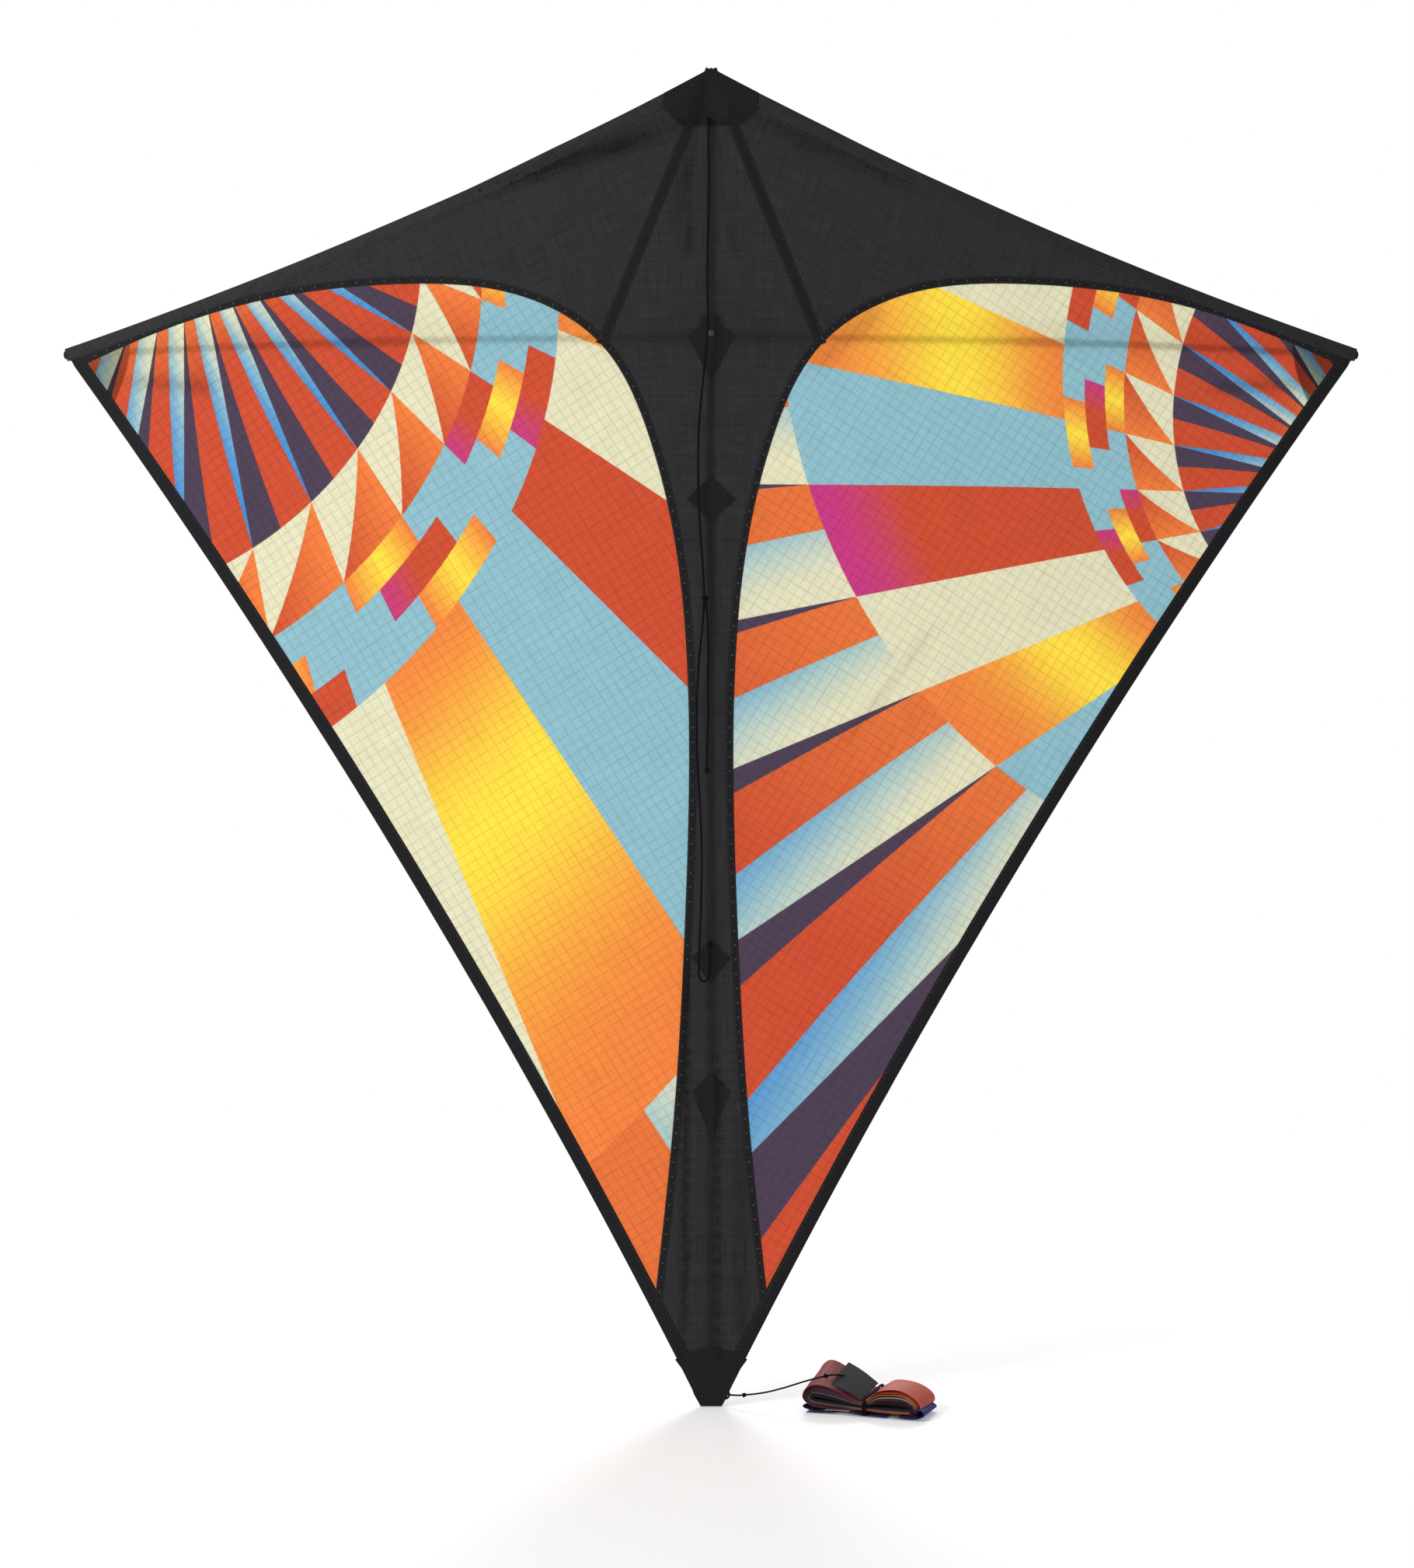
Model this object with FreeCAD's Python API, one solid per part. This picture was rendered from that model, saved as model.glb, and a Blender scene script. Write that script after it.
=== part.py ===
import FreeCAD, Part

import math
import os

# A diamond kite with a bowed cloth sail, in millimetres.
# The origin is on the spine's axis at the height of the cross spar. +Z is up along the spine,
# +X is towards the right wing tip and the sail's printed face looks along -Y.

V = FreeCAD.Vector

# Sail outline, seen square on.
NOSE_Z = 176.0
TAIL_Z = -711.0
HALF_SPAN = 449.0
TIP_TOP_Z = 3.5
TIP_LOW = (441.0, -10.0)
TAIL_HALF_WIDTH = 7.0
UPPER_HOLLOW = 15.0
LOWER_HOLLOW = 18.5
BOW_DEPTH = 105.0
EDGE_BAND = 9.0
SEAM_BAND = 7.5
CURVED_SEAM = 5.0

# Where the sail splits into the fixed centre strip and the two folding wings.
STRIP_HALF = 8.0
SPLIT_GAP = 0.3
TAIL_SPLIT_Z = -665.0
CLOTH_END_Z = -703.0

# Layers of cloth, as places on the Y axis at the kite's centre line.
SAIL_FRONT = -4.0
SAIL_BACK = -3.6
BAND_FRONT = -4.2
STRIP_FRONT = -4.6
PATCH_FRONT = -4.9
BACKING_BACK = -3.3

# Frame tubes.
SPINE_R = 2.5
SPINE_BORE = 1.5
SPINE_TOP = 172.0
SPINE_JOINT_Z = (-142.0, -394.0)
SPINE_BOTTOM = -706.0
FERRULE_HALF = 20.0
FERRULE_WALL = 0.7
TUBE_GAP = 0.3
SPAR_R = 2.25
SPAR_BORE = 1.25
SPAR_Y = 6.0
SPAR_START_X = 13.0
SPAR_JOINT_X = 225.0
SPAR_END_X = 443.0
SPAR_END_BEHIND_SAIL = 5.8
ELASTIC_R = 0.6
HINGE_X = 10.0
ARM_R = 3.5
ARM_END_X = 42.0
BARREL_HALF = 4.5

# Cords.
BRIDLE_D = 1.5
LEADER_D = 1.2
RUN_SHARE = 0.45

# Routes of the cords, from one turning point to the next.
BRIDLE_ROUTE = [
    (-1.6, -8.0, 138.6), (-2.0, -9.4, 126.0), (-1.2, -9.7, 103.0), (-2.0, -9.2, 72.0),
    (-2.9, -9.7, 38.0), (-1.9, -10.0, 2.0), (-4.9, -9.5, -26.0), (-8.2, -9.7, -58.0),
    (-8.9, -9.3, -92.0), (-7.6, -9.6, -128.0), (-5.4, -9.9, -156.0), (-4.4, -9.6, -176.0),
    (-6.0, -9.9, -196.0), (-8.7, -10.6, -222.0), (-9.9, -10.2, -252.0), (-9.3, -10.9, -283.0),
    (-7.4, -11.4, -313.0), (-6.1, -12.3, -345.0), (-6.6, -13.0, -376.0), (-7.7, -13.3, -402.0),
    (-8.1, -13.5, -417.0), (-8.3, -13.6, -427.0), (-4.65, -10.1, -429.9), (-1.0, -6.6, -427.0),
    (-0.8, -6.8, -417.0), (-0.8, -7.0, -407.4),
]
PIGTAIL_ROUTE = [
    (-3.6, -11.2, -178.2), (-2.3, -12.6, -190.0), (-1.7, -12.2, -208.0), (-2.4, -12.7, -231.0),
    (-1.8, -12.1, -254.0), (-3.1, -12.5, -273.0), (-2.8, -12.4, -287.0),
]
LEADER_ROUTE = [
    (12.2, -0.6, -704.2), (16.6, -5.0, -703.9), (21.8, -9.0, -702.8), (34.0, -14.6, -700.6),
    (48.0, -19.6, -696.2), (62.0, -24.0, -690.8), (75.0, -26.6, -685.6), (83.0, -22.4, -684.2),
    (89.8, -17.0, -687.2),
]

# Folded ribbon tail: its own axes turn by this angle about the vertical.
HANK_CENTRE = (103.0, -22.0)
HANK_TURN = 20.0
RIBBON_HALF = 19.0
TAB_THICKNESS = 0.8
HANK_BACK = [(0, 1.0), (-20, 0.6), (-36, 4), (-41, 15), (-38, 27), (-29, 32), (-18, 25),
             (1, 13), (15, 19), (29, 18), (39, 12), (41, 4), (33, 0.4), (15, 0.3)]
HANK_FRONT = [(0, 1.0), (-20, 0.6), (-34, 2), (-40, 8), (-38, 15), (-30, 20), (-19, 17),
              (1, 9), (15, 17), (28, 18), (40, 12), (42, 4), (34, 0.4), (15, 0.3)]

BELOW_SAIL_Y = -60.0
ABOVE_SAIL_Y = 180.0
SAIL_RADIUS = (HALF_SPAN**2 + BOW_DEPTH**2) / (2 * BOW_DEPTH)


def export(name, shape):
    """Write one sub-part, after checking that it is made of closed solids."""
    solids = shape.Solids
    if not solids or not all(s.isClosed() and s.isValid() for s in solids):
        raise RuntimeError(name + " is not made of valid closed solids")
    if len(solids) == 1:
        shape = solids[0]
    else:
        shape = Part.makeCompound(solids)
    shape.exportStep("parts/" + name + ".step")


def mirrored(shape):
    """The same piece on the other side of the spine."""
    return shape.mirror(V(0, 0, 0), V(1, 0, 0))


def flat(point):
    """A point of a flat outline, placed well in front of the sail."""
    return V(point[0], BELOW_SAIL_Y, point[1])


def prism(edges):
    """A flat outline extruded through every layer of the sail."""
    face = Part.Face(Part.Wire(Part.__sortEdges__(edges)))
    return face.extrude(V(0, ABOVE_SAIL_Y - BELOW_SAIL_Y, 0))


def polygon_prism(points):
    corners = [flat(p) for p in points]
    return prism(Part.makePolygon(corners + corners[:1]).Edges)


def block(x0, x1, y0, y1, z0, z1):
    return Part.makeBox(x1 - x0, y1 - y0, z1 - z0, V(x0, y0, z0))


def line(a, b):
    return Part.LineSegment(flat(a), flat(b)).toShape()


def hollow_middle(a, b, hollow):
    """The middle of an edge that curves in by the given depth, to the right of a towards b."""
    length = math.dist(a, b)
    nx = (b[1] - a[1]) / length
    nz = (a[0] - b[0]) / length
    return ((a[0] + b[0]) / 2 + nx * hollow, (a[1] + b[1]) / 2 + nz * hollow)


def hollow_edge(a, b, hollow):
    middle = hollow_middle(a, b, hollow)
    return Part.Arc(flat(a), flat(middle), flat(b)).toShape()


def shifted(a, b, distance):
    """Both ends of an edge, moved square to it, to the right of a towards b."""
    length = math.dist(a, b)
    nx = (b[1] - a[1]) / length * distance
    nz = (a[0] - b[0]) / length * distance
    return (a[0] + nx, a[1] + nz), (b[0] + nx, b[1] + nz)


def spline(points):
    curve = Part.BSplineCurve()
    curve.interpolate([flat(p) for p in points])
    return curve.toShape()


# Corners of the right half of the sail.
NOSE = (0.0, NOSE_Z)
TIP_TOP = (HALF_SPAN, TIP_TOP_Z)
TAIL_CORNER = (TAIL_HALF_WIDTH, TAIL_Z)
SEAM_TOP = (0.0, NOSE_Z - 1.0)
SEAM_FOOT = (73.0, -7.0)

# Top and inner edge of the printed panel, from beyond the wing tip to beyond the tail end.
PANEL_EDGE = [
    (462.0, -19.0), (428.0, -6.0), (320.0, 26.0), (205.0, 36.0), (125.0, 25.5), SEAM_FOOT,
    (42.0, -66.0), (23.0, -145.0), (16.2, -215.0), (14.8, -300.0), (17.2, -385.0),
    (25.5, -527.0), (37.0, -637.0), (40.5, -668.0),
]


def half_sail_prism():
    """The right half of the sail's outline."""
    return prism([
        hollow_edge(NOSE, TIP_TOP, UPPER_HOLLOW),
        line(TIP_TOP, TIP_LOW),
        hollow_edge(TIP_LOW, TAIL_CORNER, LOWER_HOLLOW),
        line(TAIL_CORNER, (0.0, TAIL_Z)),
        line((0.0, TAIL_Z), NOSE),
    ])


def wing_room():
    """The space of the right folding wing, clear of the centre strip."""
    return block(STRIP_HALF + SPLIT_GAP, HALF_SPAN + 30, BELOW_SAIL_Y, ABOVE_SAIL_Y,
                 TAIL_SPLIT_Z + SPLIT_GAP, NOSE_Z + 20)


def bowed_layer(front, back):
    """A bowed sheet as large as the sail, between two places on the Y axis."""
    centre_y = SAIL_FRONT + SAIL_RADIUS
    reach = HALF_SPAN + 25
    base = TAIL_Z - 5

    def on_arc(radius, x):
        return V(x, centre_y - math.sqrt(radius**2 - x**2), base)

    front_r = centre_y - front
    back_r = centre_y - back
    edges = [
        Part.Arc(on_arc(front_r, -reach), on_arc(front_r, 0), on_arc(front_r, reach)).toShape(),
        Part.LineSegment(on_arc(front_r, reach), on_arc(back_r, reach)).toShape(),
        Part.Arc(on_arc(back_r, reach), on_arc(back_r, 0), on_arc(back_r, -reach)).toShape(),
        Part.LineSegment(on_arc(back_r, -reach), on_arc(front_r, -reach)).toShape(),
    ]
    return Part.Face(Part.Wire(edges)).extrude(V(0, 0, NOSE_Z - base + 10))


def edge_band(a, b, hollow):
    """A band of cloth along one edge of the sail, inside it."""
    a_in, b_in = shifted(a, b, EDGE_BAND)
    return prism([
        hollow_edge(a, b, hollow),
        line(b, b_in),
        hollow_edge(a_in, b_in, hollow),
        line(a_in, a),
    ])


def straight_band(a, b, width):
    a_left, b_left = shifted(a, b, -width / 2)
    a_right, b_right = shifted(a, b, width / 2)
    return polygon_prism([a_left, b_left, b_right, a_right])


def curved_band(points, width):
    """A band on the inner side of a smooth line."""
    moved = []
    for i, point in enumerate(points):
        before = points[max(i - 1, 0)]
        after = points[min(i + 1, len(points) - 1)]
        start, end = shifted(before, after, width)
        moved.append((point[0] + start[0] - before[0], point[1] + end[1] - after[1]))
    return prism([
        spline(points),
        line(points[-1], moved[-1]),
        spline(moved),
        line(moved[0], points[0]),
    ])


def printed_region():
    """Everything outside and below the printed panel's inner edge."""
    far_x = HALF_SPAN + 60
    return prism([
        spline(PANEL_EDGE),
        line(PANEL_EDGE[-1], (far_x, PANEL_EDGE[-1][1])),
        line((far_x, PANEL_EDGE[-1][1]), (far_x, PANEL_EDGE[0][1])),
        line((far_x, PANEL_EDGE[0][1]), PANEL_EDGE[0]),
    ])


def wing_sail():
    """The cloth pieces of the right wing, by name."""
    outline = half_sail_prism().common(wing_room())
    sheet = outline.common(bowed_layer(SAIL_FRONT, SAIL_BACK))
    bands = outline.common(bowed_layer(BAND_FRONT, SAIL_FRONT))
    backing = outline.common(bowed_layer(SAIL_BACK, BACKING_BACK))

    printed = printed_region()
    black = sheet.cut(printed)
    outside_seam = polygon_prism([SEAM_TOP, (HALF_SPAN + 60, NOSE_Z + 30),
                                  (HALF_SPAN + 60, SEAM_FOOT[1] - 30), SEAM_FOOT])
    hem = bands.common(edge_band(NOSE, TIP_TOP, UPPER_HOLLOW))
    binding = bands.common(edge_band(TIP_LOW, TAIL_CORNER, LOWER_HOLLOW)).cut(hem)
    straight_seam = bands.common(straight_band(SEAM_TOP, SEAM_FOOT, SEAM_BAND))
    straight_seam = straight_seam.cut(hem)
    curved_seam = bands.common(curved_band(PANEL_EDGE, CURVED_SEAM))
    curved_seam = curved_seam.cut(hem).cut(binding).cut(straight_seam)
    tip_region = prism([
        Part.Arc(flat((401.5, 30)), flat((400.5, -6)), flat((416, -44))).toShape(),
        line((416, -44), (HALF_SPAN + 30, -44)),
        line((HALF_SPAN + 30, -44), (HALF_SPAN + 30, 30)),
        line((HALF_SPAN + 30, 30), (401.5, 30)),
    ])
    return {
        "wing_panel": black.common(outside_seam),
        "printed_panel": sheet.common(printed),
        "centre_panel": black.cut(outside_seam),
        "leading_hem": hem,
        "trailing_binding": binding,
        "seam_tapes": Part.makeCompound(straight_seam.Solids + curved_seam.Solids),
        "tip_backing": backing.common(tip_region),
    }


def sail_y(x):
    """Where the sail's front face lies at a distance x from the spine."""
    return SAIL_FRONT + SAIL_RADIUS - math.sqrt(SAIL_RADIUS**2 - x**2)


SPAR_SAG = sail_y(SPAR_END_X) + SPAR_END_BEHIND_SAIL - SPAR_Y
SPAR_ARC_R = (SPAR_END_X**2 + SPAR_SAG**2) / (2 * SPAR_SAG)


def spar_rod(radius, x0, x1):
    """A solid round rod along the bowed cross spar, between two distances from the spine."""
    centre = V(0, SPAR_Y + SPAR_ARC_R, 0)
    start = math.asin(x0 / SPAR_ARC_R)
    end = math.asin(x1 / SPAR_ARC_R)
    at = centre + V(math.sin(start), -math.cos(start), 0) * SPAR_ARC_R
    along = V(math.cos(start), math.sin(start), 0)
    disc = Part.Face(Part.Wire(Part.makeCircle(radius, at, along)))
    return disc.revolve(centre, V(0, 0, 1), math.degrees(end - start)).Solids[0]


def spar_tube(outer, inner, x0, x1):
    return spar_rod(outer, x0, x1).cut(spar_rod(inner, x0, x1))


def wing_frame():
    """The right half of the cross spar and its fittings, by name."""
    barrel = Part.makeCylinder(ARM_R, 2 * BARREL_HALF, V(HINGE_X, SPAR_Y, -BARREL_HALF))
    arm = barrel.fuse(spar_rod(ARM_R, HINGE_X, ARM_END_X)).removeSplitter()
    arm = arm.cut(spar_rod(SPAR_R, SPAR_START_X, ARM_END_X + 1))
    cap_r = SPAR_R + 0.85
    cap = spar_rod(cap_r, SPAR_END_X - 8, SPAR_END_X + 6)
    cap = cap.cut(spar_rod(SPAR_R, SPAR_END_X - 9, SPAR_END_X))
    pocket = spar_rod(cap_r + 1.2, SPAR_END_X - 18, SPAR_END_X + 3)
    pocket = pocket.cut(spar_rod(cap_r, SPAR_END_X - 19, SPAR_END_X + 4))
    ferrule_r = SPAR_R + FERRULE_WALL
    return {
        "fitting_arm": arm,
        "spar_inner": spar_tube(SPAR_R, SPAR_BORE, SPAR_START_X, SPAR_JOINT_X),
        "spar_outer": spar_tube(SPAR_R, SPAR_BORE, SPAR_JOINT_X + TUBE_GAP, SPAR_END_X),
        "spar_ferrule": spar_tube(ferrule_r, SPAR_R, SPAR_JOINT_X - FERRULE_HALF,
                                  SPAR_JOINT_X + FERRULE_HALF),
        "spar_elastic": spar_rod(ELASTIC_R, SPAR_START_X + 1, SPAR_END_X - 1),
        "tip_cap": cap,
        "tip_pocket": pocket,
    }


def rod(radius, z0, z1, x=0.0, y=0.0):
    return Part.makeCylinder(radius, z1 - z0, V(x, y, z0))


def spine():
    """The spine's tubes, ferrules and elastic, by name."""
    joint_1, joint_2 = SPINE_JOINT_Z
    spans = {
        "spine_upper": (joint_1 + TUBE_GAP, SPINE_TOP),
        "spine_middle": (joint_2 + TUBE_GAP, joint_1),
        "spine_lower": (SPINE_BOTTOM, joint_2),
    }
    pieces = {}
    for name, (z0, z1) in spans.items():
        pieces[name] = rod(SPINE_R, z0, z1).cut(rod(SPINE_BORE, z0, z1))
    ferrules = []
    for joint in SPINE_JOINT_Z:
        z0 = joint - FERRULE_HALF
        z1 = joint + FERRULE_HALF
        ferrules.append(rod(SPINE_R + FERRULE_WALL, z0, z1).cut(rod(SPINE_R, z0, z1)))
    pieces["spine_ferrules"] = Part.makeCompound(ferrules)
    pieces["spine_elastic"] = rod(ELASTIC_R, SPINE_BOTTOM + 1, SPINE_TOP - 1)
    return pieces


def rounded_block(x, y0, y1, z0, z1, radius):
    """A block of half width x with its upright edges rounded."""
    shape = block(-x, x, y0, y1, z0, z1)
    upright = [e for e in shape.Edges if abs(e.Vertexes[0].Z - e.Vertexes[1].Z) > 1e-6]
    return shape.makeFillet(radius, upright)


BUTTON_STEM_R = 1.2
HUB_FRONT = -3.3


def button_stem():
    """The stud that goes through the sail to the hub."""
    return Part.makeCylinder(BUTTON_STEM_R, HUB_FRONT - PATCH_FRONT, V(0, PATCH_FRONT, 0),
                             V(0, 1, 0))


def fittings():
    """The hub, the caps, the pockets and the keepers on the spine, by name."""
    collar = rounded_block(7.0, HUB_FRONT, 3.3, -13.0, 13.0, 2.0)
    web = rounded_block(5.4, 3.0, 10.0, -7.0, 7.0, 1.5)
    hub = collar.fuse(web).cut(rod(SPINE_R, -14, 14))
    dome = Part.makeSphere(2.4, V(0, PATCH_FRONT + 1.0, 0))
    dome = dome.common(block(-3, 3, PATCH_FRONT - 2, PATCH_FRONT, -3, 3))
    nose_cap = rod(3.4, 160.0, NOSE_Z).cut(rod(SPINE_R, 159.0, SPINE_TOP))
    nose_cap = nose_cap.makeFillet(1.2, [nose_cap.Edges[0]])
    nose_pocket = rounded_block(6.0, SAIL_BACK, 4.4, 146.0, 166.0, 1.5).cut(rod(3.4, 145, 170))
    tail_cap = rounded_block(6.8, -3.4, 4.2, TAIL_Z, -697.0, 1.6).cut(rod(SPINE_R, SPINE_BOTTOM, -696))
    tail_pocket = rounded_block(7.6, SAIL_BACK, 4.2, -696.5, -672.0, 1.6).cut(rod(SPINE_R, -698, -670))
    keepers = []
    for z in (-110.0, -444.0, -505.0):
        keepers.append(rod(-SAIL_BACK, z - 3, z + 3).cut(rod(SPINE_R, z - 3, z + 3)))
    return {
        "centre_hub": hub.removeSplitter(),
        "centre_button": dome.fuse(button_stem()).removeSplitter(),
        "nose_cap": nose_cap,
        "nose_pocket": nose_pocket,
        "tail_cap": tail_cap,
        "tail_pocket": tail_pocket,
        "spine_keepers": Part.makeCompound(keepers),
    }


DIAMONDS = {
    "spar_patch": [(0, 12), (15.5, -1.5), (0, -32)],
    "middle_patch": [(0, -94), (16.5, -110), (0, -125)],
    "bridle_patch": [(0, -402), (13, -414), (0, -431)],
    "lower_patch": [(0, -490), (12.5, -502), (0, -535.5)],
}


def centre_cloth():
    """The centre strip, the patches and their layers, by name."""
    right = half_sail_prism()
    whole = right.fuse(mirrored(right)).removeSplitter()
    above = block(-HALF_SPAN, HALF_SPAN, BELOW_SAIL_Y, ABOVE_SAIL_Y, CLOTH_END_Z, NOSE_Z + 20)
    cloth = whole.common(above)
    column = block(-STRIP_HALF, STRIP_HALF, BELOW_SAIL_Y, ABOVE_SAIL_Y, CLOTH_END_Z, NOSE_Z + 20)
    foot = block(-60, 60, BELOW_SAIL_Y, ABOVE_SAIL_Y, CLOTH_END_Z, TAIL_SPLIT_Z)
    strip = cloth.common(column.fuse(foot)).common(bowed_layer(STRIP_FRONT, SAIL_BACK))
    patch_layer = bowed_layer(PATCH_FRONT, STRIP_FRONT)
    nose_patch = polygon_prism([(-19.8, 138), (19.8, 138), (31.5, 148.5), (70, NOSE_Z + 10),
                                (-70, NOSE_Z + 10), (-31.5, 148.5)])
    tail_patch = prism([
        Part.Arc(flat((-24, -680)), flat((0, -672.5)), flat((24, -680))).toShape(),
        line((24, -680), (24, TAIL_Z)),
        line((24, TAIL_Z), (-24, TAIL_Z)),
        line((-24, TAIL_Z), (-24, -680)),
    ])
    pieces = {
        "centre_strip": strip.cut(button_stem()).removeSplitter(),
        "nose_patch": cloth.common(nose_patch).common(patch_layer),
        "tail_patch": cloth.common(tail_patch).common(patch_layer),
    }
    for name, (top, side, bottom) in DIAMONDS.items():
        outline = polygon_prism([top, side, bottom, (-side[0], side[1])])
        pieces[name] = outline.common(patch_layer).cut(button_stem())
    return pieces


def cord(name, route, diameter):
    """A round cord of straight runs joined by tangent arcs, with its size checked."""
    points = [V(*p) for p in route]
    edges = []
    radii = []
    start = points[0]
    for before, corner, after in zip(points, points[1:], points[2:]):
        run_in = (before - corner).Length
        run_out = (after - corner).Length
        back = (before - corner).normalize()
        ahead = (after - corner).normalize()
        turn = math.pi - back.getAngle(ahead)
        reach = RUN_SHARE * min(run_in, run_out)
        radius = reach / math.tan(turn / 2)
        entry = corner + back * reach
        leave = corner + ahead * reach
        inwards = (back + ahead).normalize()
        middle = corner + inwards * (radius / math.cos(turn / 2) - radius)
        edges.append(Part.LineSegment(start, entry).toShape())
        edges.append(Part.Arc(entry, middle, leave).toShape())
        radii.append(radius)
        start = leave
    edges.append(Part.LineSegment(start, points[-1]).toShape())
    path = Part.Wire(edges)
    ring = Part.Wire(Part.makeCircle(diameter / 2, points[0], points[1] - points[0]))
    tube = path.makePipeShell([ring], True, False)
    expected = math.pi * diameter**2 / 4 * path.Length
    print(name, "length", round(path.Length, 1), "volume over section times length",
          round(tube.Volume / expected, 3), "bend radii", [round(r, 1) for r in radii])
    return tube


def knot(point, radius, stretch=1.25):
    """A tied knot, as a rounded lump a little longer than wide."""
    ball = Part.makeSphere(radius)
    scale = FreeCAD.Matrix()
    scale.scale(1, 1, stretch)
    lump = ball.transformGeometry(scale)
    lump.translate(V(*point))
    return lump


def lines():
    """The bridle, its pigtail and the tail's leader, with their knots, by name."""
    eye = Part.makeTorus(2.7, 0.7, V(9.3, 0.2, -704.2), V(0, 1, 0))
    leader_knots = [knot(LEADER_ROUTE[2], 1.5), knot(LEADER_ROUTE[6], 1.6)]
    return {
        "bridle_line": cord("bridle_line", BRIDLE_ROUTE, BRIDLE_D),
        "tow_pigtail": cord("tow_pigtail", PIGTAIL_ROUTE, BRIDLE_D),
        "tail_leader": cord("tail_leader", LEADER_ROUTE, LEADER_D),
        "upper_anchor": knot((-1.5, -7.2, 140.6), 2.2),
        "lower_anchor": knot((-0.8, -6.8, -405.2), 2.0),
        "tow_knot": knot((-4.2, -10.0, -176.2), 2.3, 1.4),
        "pigtail_knot": knot((-2.8, -12.4, -289.6), 2.0, 1.4),
        "leader_knots": Part.makeCompound(leader_knots),
        "tail_eye": eye,
    }


def hank_point(u, w, z):
    """A point in the folded tail's own axes: along it, across it towards the front, up."""
    turn = math.radians(HANK_TURN)
    x = HANK_CENTRE[0] + u * math.cos(turn) - w * math.sin(turn)
    y = HANK_CENTRE[1] - u * math.sin(turn) - w * math.cos(turn)
    return V(x, y, TAIL_Z + z)


def hank_wire(outline, w):
    corners = [hank_point(u, w, z) for u, z in outline]
    curve = Part.BSplineCurve()
    curve.interpolate(Points=corners, PeriodicFlag=True)
    return Part.Wire(curve.toShape())


def tail():
    """The folded ribbon tail, its stiff tab and its tie, by name."""
    hank = Part.makeLoft([hank_wire(HANK_BACK, -RIBBON_HALF), hank_wire(HANK_FRONT, RIBBON_HALF)],
                         True, True)
    tab_corners = [(-19.0, -18.0, 27.5), (1.5, -18.0, 14.8), (1.0, 18.0, 11.2), (-19.5, 18.0, 23.9)]
    low = [hank_point(*c) for c in tab_corners]
    tab = Part.Face(Part.makePolygon(low + low[:1])).extrude(V(0, 0, TAB_THICKNESS))
    outer = block(-1.2, 1.2, -RIBBON_HALF - 1.2, RIBBON_HALF + 1.2, 0.1, 15.6)
    inner = block(-2, 2, -RIBBON_HALF, RIBBON_HALF, 1.3, 14.4)
    tie = outer.cut(inner)
    tie.rotate(V(0, 0, 0), V(0, 0, 1), -HANK_TURN)
    tie.translate(V(*HANK_CENTRE, TAIL_Z) + V(3.5, -1.3, 0))
    return {
        "tail_ribbon": hank,
        "tail_tab": tab,
        "tail_tie": tie,
    }


def main():
    os.makedirs("parts", exist_ok=True)
    centre = {**spine(), **fittings(), **centre_cloth(), **lines(), **tail()}
    for name, shape in centre.items():
        export(name, shape)
    for name, shape in {**wing_frame(), **wing_sail()}.items():
        export("right_" + name, shape)
        export("left_" + name, mirrored(shape))


main()
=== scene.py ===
import math

import bpy
import numpy as np
from mathutils import Matrix, Vector, noise
from mathutils.geometry import delaunay_2d_cdt


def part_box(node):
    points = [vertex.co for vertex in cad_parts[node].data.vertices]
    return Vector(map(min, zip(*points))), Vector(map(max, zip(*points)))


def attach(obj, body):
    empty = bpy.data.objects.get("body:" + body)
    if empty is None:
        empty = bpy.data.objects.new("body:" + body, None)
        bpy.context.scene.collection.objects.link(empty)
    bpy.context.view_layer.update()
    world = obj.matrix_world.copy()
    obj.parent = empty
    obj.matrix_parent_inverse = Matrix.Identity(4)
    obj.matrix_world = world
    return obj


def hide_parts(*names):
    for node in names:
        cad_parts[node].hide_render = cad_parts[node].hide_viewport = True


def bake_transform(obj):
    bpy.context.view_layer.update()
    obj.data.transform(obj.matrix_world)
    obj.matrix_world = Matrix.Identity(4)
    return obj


# The looks of a diamond kite. Outlines of cloth are flat (x, z) points in millimetres, as they lie
# seen square on, and everything that Blender holds is in metres.
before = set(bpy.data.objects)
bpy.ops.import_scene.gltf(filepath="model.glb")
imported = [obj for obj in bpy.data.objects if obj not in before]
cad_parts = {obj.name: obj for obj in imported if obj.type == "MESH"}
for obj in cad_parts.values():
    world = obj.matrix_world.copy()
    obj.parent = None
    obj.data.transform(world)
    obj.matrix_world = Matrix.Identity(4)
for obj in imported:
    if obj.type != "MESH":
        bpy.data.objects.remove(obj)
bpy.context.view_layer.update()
MM = 0.001
METRE = 1000.0
FLOOR_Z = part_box("tail_cap")[0][2]

# Sail outline, and the bow of the sail, the same as in the CAD model.
NOSE = (0.0, 176.0)
TIP_TOP = (449.0, 3.5)
TIP_LOW = (441.0, -10.0)
TAIL_CORNER = (7.0, -711.0)
CLOTH_END_Z = -703.0
UPPER_HOLLOW = 15.0
LOWER_HOLLOW = 18.5
BOW_DEPTH = 105.0
SAIL_FRONT = -4.0
SAIL_RADIUS = (TIP_TOP[0] ** 2 + BOW_DEPTH**2) / (2 * BOW_DEPTH)
CLOTH_THICKNESS = 0.3
BEYOND_TIP = 600.0
EDGE_BAND = 9.0
SEAM_BAND = 7.5
CURVED_SEAM = 5.0
SEAM_TOP = (0.0, 175.0)
SEAM_FOOT = (73.0, -7.0)
WING_PANEL_LOWEST = -67.0
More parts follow.
